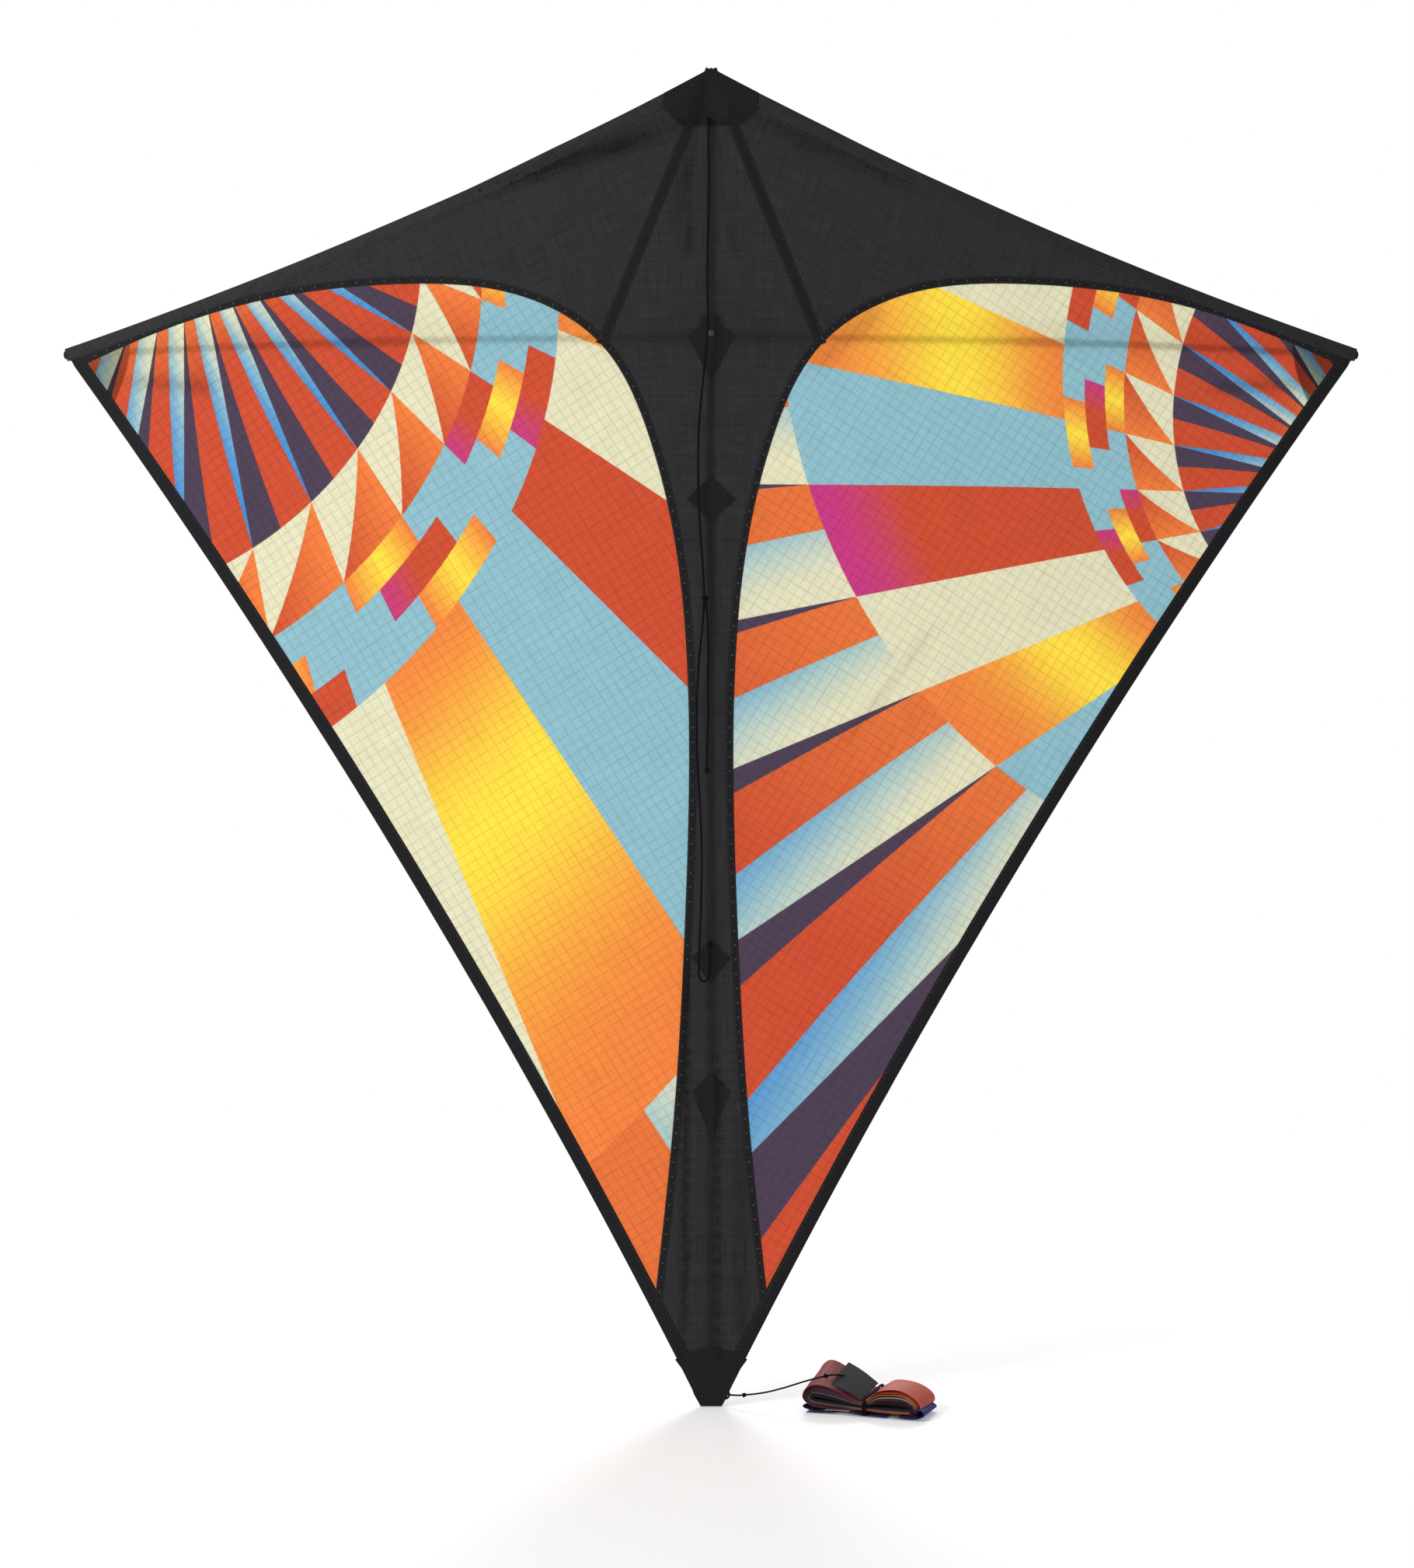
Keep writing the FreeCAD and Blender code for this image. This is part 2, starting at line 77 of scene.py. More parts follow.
PANEL_EDGE = [
    (462.0, -19.0), (428.0, -6.0), (320.0, 26.0), (205.0, 36.0), (125.0, 25.5), SEAM_FOOT,
    (42.0, -66.0), (23.0, -145.0), (16.2, -215.0), (14.8, -300.0), (17.2, -385.0),
    (25.5, -527.0), (37.0, -637.0), (40.5, -668.0), (44.5, -703.0),
]
DIAMONDS = {
    "spar_patch": [(0, 12), (15.5, -1.5), (0, -32)],
    "middle_patch": [(0, -94), (16.5, -110), (0, -125)],
    "bridle_patch": [(0, -402), (13, -414), (0, -431)],
    "lower_patch": [(0, -490), (12.5, -502), (0, -535.5)],
}

# Cords: the routes of the CAD model, in metres.
BRIDLE_D = 0.0015
LEADER_D = 0.0012
BRIDLE_ROUTE = [
    (-0.0016, -0.0080, 0.1386), (-0.0020, -0.0094, 0.1260), (-0.0012, -0.0097, 0.1030),
    (-0.0020, -0.0092, 0.0720), (-0.0029, -0.0097, 0.0380), (-0.0019, -0.0100, 0.0020),
    (-0.0049, -0.0095, -0.0260), (-0.0082, -0.0097, -0.0580), (-0.0089, -0.0093, -0.0920),
    (-0.0076, -0.0096, -0.1280), (-0.0054, -0.0099, -0.1560), (-0.0044, -0.0096, -0.1760),
    (-0.0060, -0.0099, -0.1960), (-0.0087, -0.0106, -0.2220), (-0.0099, -0.0102, -0.2520),
    (-0.0093, -0.0109, -0.2830), (-0.0074, -0.0114, -0.3130), (-0.0061, -0.0123, -0.3450),
    (-0.0066, -0.0130, -0.3760), (-0.0077, -0.0133, -0.4020), (-0.0081, -0.0135, -0.4170),
    (-0.0083, -0.0136, -0.4270), (-0.00465, -0.0101, -0.4299), (-0.0010, -0.0066, -0.4270),
    (-0.0008, -0.0068, -0.4170), (-0.0008, -0.0070, -0.4074),
]
PIGTAIL_ROUTE = [
    (-0.0036, -0.0112, -0.1782), (-0.0023, -0.0126, -0.1900), (-0.0017, -0.0122, -0.2080),
    (-0.0024, -0.0127, -0.2310), (-0.0018, -0.0121, -0.2540), (-0.0031, -0.0125, -0.2730),
    (-0.0028, -0.0124, -0.2870),
]
LEADER_ROUTE = [
    (0.0122, -0.0006, -0.7042), (0.0166, -0.0050, -0.7039), (0.0218, -0.0090, -0.7028),
    (0.0340, -0.0146, -0.7006), (0.0480, -0.0196, -0.6962), (0.0620, -0.0240, -0.6908),
    (0.0750, -0.0266, -0.6870), (0.0830, -0.0224, -0.6866), (0.0898, -0.0170, -0.6893),
]


# ---------------------------------------------------------------- shader helpers

def linear(r, g, b):
    """A colour given as 0 to 255, in the linear units that shaders take."""
    return tuple((c / 255 / 12.92) if c <= 10 else ((c / 255 + 0.055) / 1.055) ** 2.4
                 for c in (r, g, b)) + (1.0,)


def put(tree, value, place):
    """Sets a socket to a number or colour, or links a term or a socket to it."""
    if isinstance(value, Term):
        value = value.socket
    if isinstance(value, bpy.types.NodeSocket):
        tree.links.new(value, place)
    else:
        place.default_value = value


def fill(tree, node, inputs):
    """Sets or links inputs of a node, given by name or by number."""
    for key, value in inputs.items():
        put(tree, value, node.inputs[key])


def add_node(tree, kind, inputs):
    """A new node with these inputs."""
    node = tree.nodes.new(kind)
    fill(tree, node, inputs)
    return node


class Term:
    """A number inside a shader, which can be written into sums."""

    def __init__(self, tree, socket):
        self.tree = tree
        self.socket = socket

    def math(self, operation, *others):
        node = self.tree.nodes.new("ShaderNodeMath")
        node.operation = operation
        fill(self.tree, node, dict(enumerate((self, *others))))
        return Term(self.tree, node.outputs[0])

    def __add__(self, other):
        return self.math("ADD", other)

    def __sub__(self, other):
        return self.math("SUBTRACT", other)

    def __mul__(self, other):
        return self.math("MULTIPLY", other)

    def __truediv__(self, other):
        return self.math("DIVIDE", other)

    def below(self, other):
        return self.math("LESS_THAN", other)

    def floor(self):
        return self.math("FLOOR")

    def fraction(self):
        return self.math("FRACT")

    def wrap(self, size):
        """What is left after taking away whole sizes, never negative."""
        return self.math("FLOORED_MODULO", size)

    def size(self):
        return self.math("ABSOLUTE")

    def ramp(self, low, high):
        """0 below low and 1 above high, in a smooth step between."""
        node = self.tree.nodes.new("ShaderNodeMapRange")
        node.interpolation_type = "SMOOTHSTEP"
        fill(self.tree, node, {"Value": self, "From Min": low, "From Max": high})
        return Term(self.tree, node.outputs["Result"])


def mixed(tree, share, a, b, blending="MIX"):
    """Colour a where share is 0 and, unless they blend in another way, colour b where it is 1."""
    node = tree.nodes.new("ShaderNodeMix")
    node.data_type = "RGBA"
    node.blend_type = blending
    fill(tree, node, {0: share, 6: a, 7: b})
    return node.outputs[2]


def darker(tree, colour, share):
    """The colour times a varying share."""
    grey = add_node(tree, "ShaderNodeCombineColor", {0: share, 1: share, 2: share}).outputs[0]
    return mixed(tree, 1.0, colour, grey, "MULTIPLY")


def flat_cut(tree):
    """The place of a point in the flat cut of its cloth, in metres."""
    node = tree.nodes.new("ShaderNodeUVMap")
    node.uv_map = "cut"
    return node.outputs[0]


def object_place(tree):
    return tree.nodes.new("ShaderNodeTexCoord").outputs["Object"]


def place_on_cloth(tree):
    """Where a point of the cloth lies in its flat cut, in millimetres."""
    parts = add_node(tree, "ShaderNodeSeparateXYZ", {0: flat_cut(tree)})
    return Term(tree, parts.outputs[0]) * METRE, Term(tree, parts.outputs[1]) * METRE


def clouds(tree, place, scale, detail):
    """Noise about 0.5, with this many clouds to each unit of the place."""
    node = add_node(tree, "ShaderNodeTexNoise", {"Vector": place, "Scale": scale, "Detail": detail})
    return Term(tree, node.outputs[0])


def speckle(tree, scale, place, stretch=(1.0, 1.0, 1.0)):
    """A cloudy pattern about 0.5, with this many clouds to the metre."""
    mapping = add_node(tree, "ShaderNodeMapping", {0: place, "Scale": stretch})
    return clouds(tree, mapping.outputs[0], scale, 2.0)


def bumped(tree, height, depth):
    """A normal for a surface with that relief, whose full height is depth metres."""
    inputs = {"Strength": 1.0, "Distance": depth, "Height": height}
    return add_node(tree, "ShaderNodeBump", inputs).outputs[0]


# How much painted shade darkens the cloth at the bottom of a sharp fold.
FOLD_PAINTED_SHADE = 0.6

# Cloudiness of cloth, in clouds to the metre.
FINE_GRAIN = 700.0
BROAD_GRAIN = 28.0

# The uneven threads' streaks, in millimetres.
STREAK_WIDTH = 1.3
STREAK_LENGTH = 26.0


def new_material(name):
    material = bpy.data.materials.new(name)
    material.use_nodes = True
    tree = material.node_tree
    tree.nodes.clear()
    output = tree.nodes.new("ShaderNodeOutputMaterial")
    shader = tree.nodes.new("ShaderNodeBsdfPrincipled")
    tree.links.new(shader.outputs[0], output.inputs[0])
    return material, tree, shader, output


def solid_finish(name, colour, roughness, metallic=0.0, grain=900.0, relief=0.00004, variation=0.12,
                 stretch=(1.0, 1.0, 1.0), coat=0.0, shine=0.5):
    """Moulded plastic, metal, tube or cord: a colour with a grain of its own."""
    material, tree, shader, _ = new_material(name)
    place = object_place(tree)
    cloud = speckle(tree, grain, place, stretch)
    patchy = speckle(tree, grain / 25, place)
    base = darker(tree, colour, cloud * variation + patchy * variation + (1.0 - variation))
    fill(tree, shader, {
        "Base Color": base,
        "Roughness": patchy * 0.2 + (roughness - 0.1),
        "Metallic": metallic,
        "Specular IOR Level": shine,
        "Coat Weight": coat,
        "Normal": bumped(tree, cloud, relief),
    })
    return material


def thread_axes(tree, along):
    """Distances in millimetres along a cloth's threads and across them."""
    x, z = place_on_cloth(tree)
    x = x.size()
    dx, dz = along
    length = math.hypot(dx, dz)
    dx, dz = dx / length, dz / length
    return x * dz - z * dx, x * dx + z * dz


def thread_grid(rows, columns, pitch, width):
    """The heavier threads of ripstop cloth: 1 on a thread, for threads both ways."""
    edge = 0.5 * width / pitch
    on_row, on_column = (((place / pitch).fraction() - 0.5).size().ramp(edge * 1.6, edge * 0.4)
                         for place in (rows, columns))
    return on_row.math("MAXIMUM", on_column)


def uneven_threads(tree, rows, columns):
    """Thin streaks along a cloth's threads, both ways, about 0.5."""
    streaks = []
    for a, b in ((rows, columns), (columns, rows)):
        place = add_node(tree, "ShaderNodeCombineXYZ", {0: a / STREAK_WIDTH, 1: b / STREAK_LENGTH})
        streaks.append(clouds(tree, place.outputs[0], 1.0, 3.0))
    return (streaks[0] + streaks[1]) * 0.5


def cloth_material(name, colour, through, along=(0.0, 1.0), pitch=6.4, thread=0.55, mark=0.16,
                   roughness=0.62, sheen=0.08, shine=0.2, weave=0.00012, cloud=0.06, streaks=0.25):
    """Thin woven cloth, which lets some light through. colour is a colour, or makes one in the shader."""
    material, tree, shader, output = new_material(name)
    rows, columns = thread_axes(tree, along)
    grid = thread_grid(rows, columns, pitch, thread)
    threads = uneven_threads(tree, rows, columns)
    # The fold attribute holds painted shade for the bottoms of the creases.
    folds = tree.nodes.new("ShaderNodeAttribute")
    folds.attribute_name = "fold"
    fine = speckle(tree, FINE_GRAIN, flat_cut(tree))
    broad = speckle(tree, BROAD_GRAIN, flat_cut(tree))
    shade = grid * -mark + fine * cloud + broad * cloud + (1.0 - cloud)
    shade = shade + (threads - 0.5) * streaks * 2.0
    # Painted shade: the cloth is darkened along the creases' valleys.
    shade = shade - Term(tree, folds.outputs["Fac"]) * FOLD_PAINTED_SHADE
    base = darker(tree, colour(tree) if callable(colour) else colour, shade)
    normal = bumped(tree, fine * 0.5 + grid, weave)
    fill(tree, shader, {
        "Base Color": base,
        "Roughness": roughness,
        "Specular IOR Level": shine,
        "Sheen Weight": sheen,
        "Sheen Roughness": 0.4,
        "Normal": normal,
    })
    # Light crosses both faces of the thin sheet, so each face takes half of its colour.
    half = add_node(tree, "ShaderNodeGamma", {"Color": base, "Gamma": 0.5})
    light = add_node(tree, "ShaderNodeBsdfTranslucent", {"Color": half.outputs[0], "Normal": normal})
    both = add_node(tree, "ShaderNodeMixShader", {0: through, 1: shader.outputs[0], 2: light.outputs[0]})
    tree.links.new(both.outputs[0], output.inputs[0])
    return material


# ---------------------------------------------------------------- the print

RED = linear(206, 84, 54)
PLUM = linear(82, 68, 88)
YELLOW = linear(250, 224, 76)
CREAM = linear(226, 223, 192)
PALE_BLUE = linear(148, 192, 204)
BLUE = linear(72, 146, 208)
ORANGE = linear(238, 134, 68)
PINK = linear(202, 62, 136)


class Fan:
    """Wedges round a point, in four zones that wind outwards: blades, teeth, blocks and stripes."""

    BLADES_END = 0.50
    TEETH_END = 0.60
    BLOCKS_END = 0.70

    def __init__(self, tree, centre, wedges, growth, start):
        self.tree = tree
        x, z = place_on_cloth(tree)
        x = x - centre[0]
        z = z - centre[1]
        distance = (x * x + z * z).math("SQRT")
        angle = z.math("ARCTAN2", x) * (-1 / (2 * math.pi))
        winding = (distance / 100.0).math("LOGARITHM", math.e) * growth
        self.t = (winding - angle + start).fraction()
        self.wedge = angle * wedges
        self.f = self.wedge.fraction()

    def pick(self, share, a, b):
        """Colour a where share is 1, b where it is 0."""
        return mixed(self.tree, share, b, a)

    def blades(self):
        t = self.t / self.BLADES_END
        cool = t * 0.9 + self.f * 0.7
        pale = mixed(self.tree, cool.ramp(0.15, 0.6), CREAM, PALE_BLUE)
        pale = mixed(self.tree, cool.ramp(0.4, 0.85), pale, BLUE)
        red = mixed(self.tree, t.ramp(0.45, 0.0) * 0.7, RED, ORANGE)
        dark = self.pick((self.f + t * 0.45).math("GREATER_THAN", 1.0), PLUM, red)
        return self.pick((self.f + t * 0.62).below(0.62), pale, dark)

    def teeth(self):
        t = (self.t - self.BLADES_END) / (self.TEETH_END - self.BLADES_END)
        warm = mixed(self.tree, self.f, ORANGE, RED)
        return self.pick(self.f.below(t), warm, CREAM)

    def blocks(self):
        t = (self.t - self.TEETH_END) / (self.BLOCKS_END - self.TEETH_END)
        row = (t * 3.0).floor()
        place = self.wedge + row * 0.34
        kind = (place.floor() + row * 2.0).wrap(4.0)
        across = place.fraction()
        sunny = mixed(self.tree, (across - 0.5).size() * 2.0, YELLOW, ORANGE)
        rosy = mixed(self.tree, across.ramp(0.5, 1.0) * 0.8, RED, PINK)
        warm = self.pick(kind.below(1.5), sunny, rosy)
        is_warm = (kind.wrap(2.0) - 1.0).size().below(0.5)
        return self.pick(is_warm, warm, PALE_BLUE)

    def stripes(self):
        t = (self.t - self.BLOCKS_END) / (1.0 - self.BLOCKS_END)
        kind = self.wedge.floor().wrap(4.0)
        glow = ((t - 0.45) / 0.26).math("POWER", 2.0) * -1.0
        sunny = mixed(self.tree, glow.math("EXPONENT"), ORANGE, YELLOW)
        rosy = mixed(self.tree, t.ramp(0.7, 1.0), RED, PINK)
        first = self.pick(kind.below(0.5), PALE_BLUE, sunny)
        second = self.pick(kind.below(2.5), CREAM, rosy)
        return self.pick(kind.below(1.5), first, second)

    def colour(self):
        outer = self.pick(self.t.below(self.BLOCKS_END), self.blocks(), self.stripes())
        middle = self.pick(self.t.below(self.TEETH_END), self.teeth(), outer)
        return self.pick(self.t.below(self.BLADES_END), self.blades(), middle)


def left_print(tree):
    return Fan(tree, (-360.0, 110.0), 32, 0.45, 0.30).colour()


def right_print(tree):
    return Fan(tree, (470.0, -100.0), 32, 0.50, 0.80).colour()


def length_colours(*stops):
    """Colours printed one after another along a ribbon: each stop is a length in mm and a colour."""

    def colour(tree):
        end = stops[-1][0]
        _, run = place_on_cloth(tree)
        ramp = add_node(tree, "ShaderNodeValToRGB", {0: run / end})
        shades = ramp.color_ramp.elements
        shades[0].position, shades[0].color = 0.0, stops[0][1]
        shades[1].position, shades[1].color = 1.0, stops[-1][1]
        for place, shade in stops[1:-1]:
            shades.new(place / end).color = shade
        return ramp.outputs[0]

    return colour


def lobe_colours(lobes, first, shrink, blur):
    """Colours of a wound ribbon, one to each lobe. The lobes get shorter inwards, all in mm."""
    stops = [(0.0, lobes[0])]
    place = 0.0
    for i, (shade, following) in enumerate(zip(lobes, lobes[1:])):
        place += first - shrink * i
        stops += [(place - blur, shade), (place + blur, following)]
    stops.append((place + first, lobes[-1]))
    return length_colours(*stops)


CORAL = linear(208, 88, 70)
BRICK = linear(150, 54, 60)
GREY = linear(196, 196, 202)
NAVY = linear(24, 36, 118)
ROLL_COLOURS = lobe_colours([
    CORAL, BRICK, CORAL, linear(118, 50, 62), linear(238, 166, 48), linear(106, 86, 86), GREY,
    linear(84, 70, 92), linear(98, 82, 106), linear(128, 124, 130), linear(132, 40, 44),
    linear(70, 56, 70), linear(60, 46, 54),
], first=92.0, shrink=1.9, blur=6.0)
STRIP_COLOURS = length_colours(
    (0, GREY), (16, GREY), (18, NAVY), (44, NAVY), (46, GREY), (66, linear(120, 118, 126)),
    (72, GREY), (84, NAVY), (104, NAVY), (106, GREY), (118, linear(92, 90, 98)), (122, NAVY), (170, NAVY),
)


# ---------------------------------------------------------------- the materials

# The threads of the upper panels follow the leading edge, and those of the print the trailing edge.
LEADING = (TIP_TOP[0] - NOSE[0], TIP_TOP[1] - NOSE[1])
TRAILING = (TAIL_CORNER[0] - TIP_LOW[0], TAIL_CORNER[1] - TIP_LOW[1])
BLACK = linear(49, 49, 51)
TAPE_BLACK = linear(26, 26, 28)
HOLE_PITCH = 9.6


def tape_colour(tree):
    """Black tape with a row of pale needle holes along its middle."""
    across, run = place_on_cloth(tree)
    off = across - CURVED_SEAM / 2
    along = ((run / HOLE_PITCH).fraction() - 0.5) * HOLE_PITCH
    far = (off * off + along * along).math("SQRT")
    return mixed(tree, far.ramp(0.35, 0.65), linear(86, 80, 76), TAPE_BLACK)


BLACK_CLOTH = dict(mark=-0.08, weave=0.0002, streaks=0.9)
COARSE = dict(weave=0.0003, shine=0.1)
TAPE = dict(pitch=1.3, thread=0.7, mark=-0.3, roughness=0.7, **COARSE)
RIBBON = dict(pitch=3.2, thread=0.4, cloud=0.12)

# Each cloth's colour, the share of light that it lets through, and what else differs from ripstop.
CLOTHS = {
    "wing_black": (BLACK, 0.6, dict(along=LEADING, **BLACK_CLOTH)),
    "centre_black": (BLACK, 0.6, BLACK_CLOTH),
    "hem": (BLACK, 0.3, dict(along=LEADING, **BLACK_CLOTH)),
    "print_left": (left_print, 0.72, dict(along=TRAILING)),
    "print_right": (right_print, 0.72, dict(along=TRAILING)),
    "ribbon": (ROLL_COLOURS, 0.35, dict(mark=0.12, **RIBBON)),
    "ribbon_end": (STRIP_COLOURS, 0.3, RIBBON),
    "patch": (linear(29, 29, 31), 0.1, dict(pitch=2.4, thread=0.9, mark=-0.2, roughness=0.75, **COARSE)),
    "tip_backing": (linear(16, 44, 110), 0.3, dict(pitch=2.4, thread=0.9, mark=-0.1)),
    "tape": (TAPE_BLACK, 0.05, TAPE),
    "holed_tape": (tape_colour, 0.05, TAPE),
    "tab": (linear(36, 36, 39), 0.02, dict(pitch=1.6, thread=0.8, mark=-0.3, roughness=0.8, **COARSE)),
}

# The colour of everything that isn't cloth, its roughness, and what else differs.
SOLIDS = {
    "thread": ((30, 30, 33), 0.6, dict(grain=4000.0)),
    "webbing": ((30, 30, 33), 0.8, dict(grain=1500.0, relief=0.0003, stretch=(1.0, 1.0, 3.0))),
    "tube": ((28, 28, 30), 0.32, dict(grain=2500.0, stretch=(1.0, 1.0, 0.05), coat=0.3)),
    "metal": ((176, 178, 182), 0.34,
              dict(metallic=1.0, grain=3000.0, stretch=(1.0, 1.0, 0.03), relief=0.00002)),
    "elastic": ((215, 214, 208), 0.8, dict(grain=3500.0, relief=0.0002)),
    "moulding": ((27, 27, 29), 0.5, dict(grain=1400.0, relief=0.00008)),
    "cap": ((20, 20, 22), 0.3, dict(grain=600.0, relief=0.00003, shine=0.2)),
    "button": ((62, 62, 65), 0.55, dict(grain=1200.0, shine=0.3)),
    "cord": ((13, 13, 14), 0.8, dict(grain=3200.0, relief=0.0004, variation=0.3, shine=0.1)),
}
MATERIALS = {}
for name, (colour, through, rest) in CLOTHS.items():
    MATERIALS[name] = cloth_material(name, colour, through, **rest)
for name, (colour, roughness, rest) in SOLIDS.items():
    MATERIALS[name] = solid_finish(name, linear(*colour), roughness, **rest)


# ---------------------------------------------------------------- the sail's surface

CREASES = [
    # start, end, height and half width, in millimetres; a height below 0 is a valley
    ((-6, 142), (-205, 82), -3.0, 5.5),
    ((-8, 156), (-130, 112), 1.6, 5.0),
    ((10, 150), (160, 92), -1.6, 6.5),
    ((12, 158), (110, 128), 1.0, 5.0),
    ((4, 172), (30, 70), 1.4, 4.5),
    ((-4, 172), (-26, 60), -1.3, 4.5),
    ((-9, -395), (-11, -705), 1.8, 3.0),
    ((11, -420), (13, -705), 1.7, 3.4),
    ((20, -500), (22, -700), -1.4, 3.4),
    ((-15, -360), (-18, -712), -2.7, 2.3),
    ((4, -430), (5, -716), -2.8, 2.0),
    ((-9, 0), (-8, -400), 0.9, 3.4),
    ((9, -10), (8, -390), 0.8, 3.0),
    ((-13, 122), (-15, 40), -1.6, 2.6),
    ((6, 143), (28, 124), -1.5, 2.4),
    ((-30, 138), (-2, 141), -1.4, 2.4),
    ((-4, 175), (-6, 138), -1.6, 3.0),
    ((18, 160), (4, 138), 1.1, 3.0),
    ((12, 130), (10, 10), 1.1, 3.6),
    ((60, -330), (150, -235), 1.9, 2.6),
    ((78, -285), (160, -180), -0.7, 3.0),
    ((70, -420), (190, -400), 1.0, 5.0),
    ((40, -480), (160, -520), 1.1, 3.5),
    ((-70, -430), (-150, -330), 1.0, 5.0),
    ((-60, -560), (-110, -440), 0.9, 4.0),
    ((-330, -30), (-410, -20), -1.5, 5.0),
    ((330, -30), (415, -22), -1.5, 5.0),
    ((250, -60), (330, -15), 1.1, 6.0),
    ((200, -60), (300, -110), 1.0, 4.0),
    ((-250, -50), (-330, -20), 1.1, 6.0),
    ((200, -150), (330, -80), 0.9, 7.0),
    ((-120, 24), (-60, -30), 1.2, 5.0),
    ((120, 24), (60, -30), -0.8, 6.0),
]
DEEPEST = 3.0

# Unevenness all over the cloth: height, width and length of its waves in millimetres, and the layer of
# noise that it is taken from.
WAVES = [(1.3, 90.0, 130.0, 3.7), (0.35, 17.0, 24.0, 9.1)]


def sail_y(x):
    """Where the sail's front face lies at a distance x from the spine, before its creases."""
    return SAIL_FRONT + SAIL_RADIUS - np.sqrt(SAIL_RADIUS**2 - np.asarray(x, float) ** 2)


def along_crease(plan, crease):
    """How strongly a crease shows at points of the plan, from 0 to 1."""
    x, z = plan[:, 0], plan[:, 1]
    (x0, z0), (x1, z1), _, half = crease
    dx, dz = x1 - x0, z1 - z0
    length = math.hypot(dx, dz)
    along = ((x - x0) * dx + (z - z0) * dz) / length**2
    off = ((x - x0) * dz - (z - z0) * dx) / length
    fade = np.clip(np.minimum(along, 1 - along) * 4, 0, 1)
    return fade * fade * (3 - 2 * fade) * np.exp(-((off / half) ** 2))


def near_spine(plan):
    """0 at the spine, where the cloth lies flat against it, and 1 away from it."""
    return np.clip(np.abs(plan[:, 0]) / 9.0, 0, 1) ** 1.5


def relief(plan):
    """How far the cloth stands forward of its smooth bow, in millimetres, at points of the plan."""
    height = sum(crease[2] * along_crease(plan, crease) for crease in CREASES)
    for tall, wide, long, layer in WAVES:
        waves = [noise.noise(Vector((a / wide, b / long, layer))) for a, b in plan]
        height += tall * np.array(waves)
    return height * near_spine(plan)


def painted_fold_shade(plan):
    """How much painted shade darkens the valleys' bottoms, from 0 to 1, at points of the plan."""
    valleys = [crease for crease in CREASES if crease[2] < 0]
    painted_shade = sum(-crease[2] / DEEPEST * along_crease(plan, crease) for crease in valleys)
    return np.clip(painted_shade * np.clip(np.abs(plan[:, 0]) / 4.0, 0.5, 1), 0, 1)


def lay(plan, depth):
    """Points of the sail in metres: plan points, and how far behind the sail's front face."""
    y = sail_y(plan[:, 0]) - relief(plan) + depth
    return np.stack([plan[:, 0], y, plan[:, 1]], axis=1) * MM


def arc(a, b, hollow, spacing=5.0):
    """Points of an edge that curves in by the given depth, to the right of a towards b."""
    a, b = np.array(a), np.array(b)
    chord = np.linalg.norm(b - a)
    count = int(chord / spacing) + 1
    along = (b - a) / chord
    inwards = np.array([along[1], -along[0]])
    radius = (chord**2 / 4 + hollow**2) / (2 * hollow)
    half = math.asin(chord / 2 / radius)
    centre = (a + b) / 2 + inwards * (hollow - radius)
    angles = np.linspace(-half, half, count + 1)
    return [centre + along * radius * math.sin(t) + inwards * radius * math.cos(t) for t in angles]


def run_along(line):
    """How far each point of a line lies along it."""
    return np.concatenate([[0], np.cumsum(np.linalg.norm(np.diff(line, axis=0), axis=1))])


def spline(points, spacing=5.0):
    """A smooth line through points, with natural ends, as evenly spaced points."""
    points = np.array(points, float)
    knots = run_along(points)
    n = len(points)
    gaps = np.diff(knots)
    system = np.eye(n)
    right = np.zeros((n, points.shape[1]))
    for i in range(1, n - 1):
        system[i, i - 1:i + 2] = gaps[i - 1], 2 * (gaps[i - 1] + gaps[i]), gaps[i]
        right[i] = 6 * ((points[i + 1] - points[i]) / gaps[i]
                        - (points[i] - points[i - 1]) / gaps[i - 1])
    bend = np.linalg.solve(system, right)
    line = []
    for s in np.linspace(0, knots[-1], int(knots[-1] / spacing) + 1):
        i = min(int(np.searchsorted(knots, s, side="right")) - 1, n - 2)
        h = gaps[i]
        u, v = knots[i + 1] - s, s - knots[i]
        line.append((bend[i] * u**3 + bend[i + 1] * v**3) / (6 * h)
                    + (points[i] / h - bend[i] * h / 6) * u
                    + (points[i + 1] / h - bend[i + 1] * h / 6) * v)
    return line


def straight(a, b, spacing=5.0):
    """Evenly spaced points from a to b."""
    count = max(1, int(math.dist(a, b) / spacing))
    return [np.array(a) + (np.array(b) - np.array(a)) * i / count for i in range(count + 1)]


def normals_of(line):
    """Unit vectors square to a line, to the right of its direction."""
    way = np.gradient(np.array(line), axis=0)
    way /= np.linalg.norm(way, axis=1)[:, None]
    return np.stack([way[:, 1], -way[:, 0]], axis=1)


def inside(points, outline):
    """Which points lie inside a closed outline."""
    x, z = points[:, 0], points[:, 1]
    found = np.zeros(len(points), bool)
    for (x0, z0), (x1, z1) in zip(outline, np.roll(outline, -1, axis=0)):
        crosses = (z0 > z) != (z1 > z)
        with np.errstate(divide="ignore", invalid="ignore"):
            at = (x1 - x0) * (z - z0) / (z1 - z0) + x0
        found ^= crosses & (x < at)
    return found


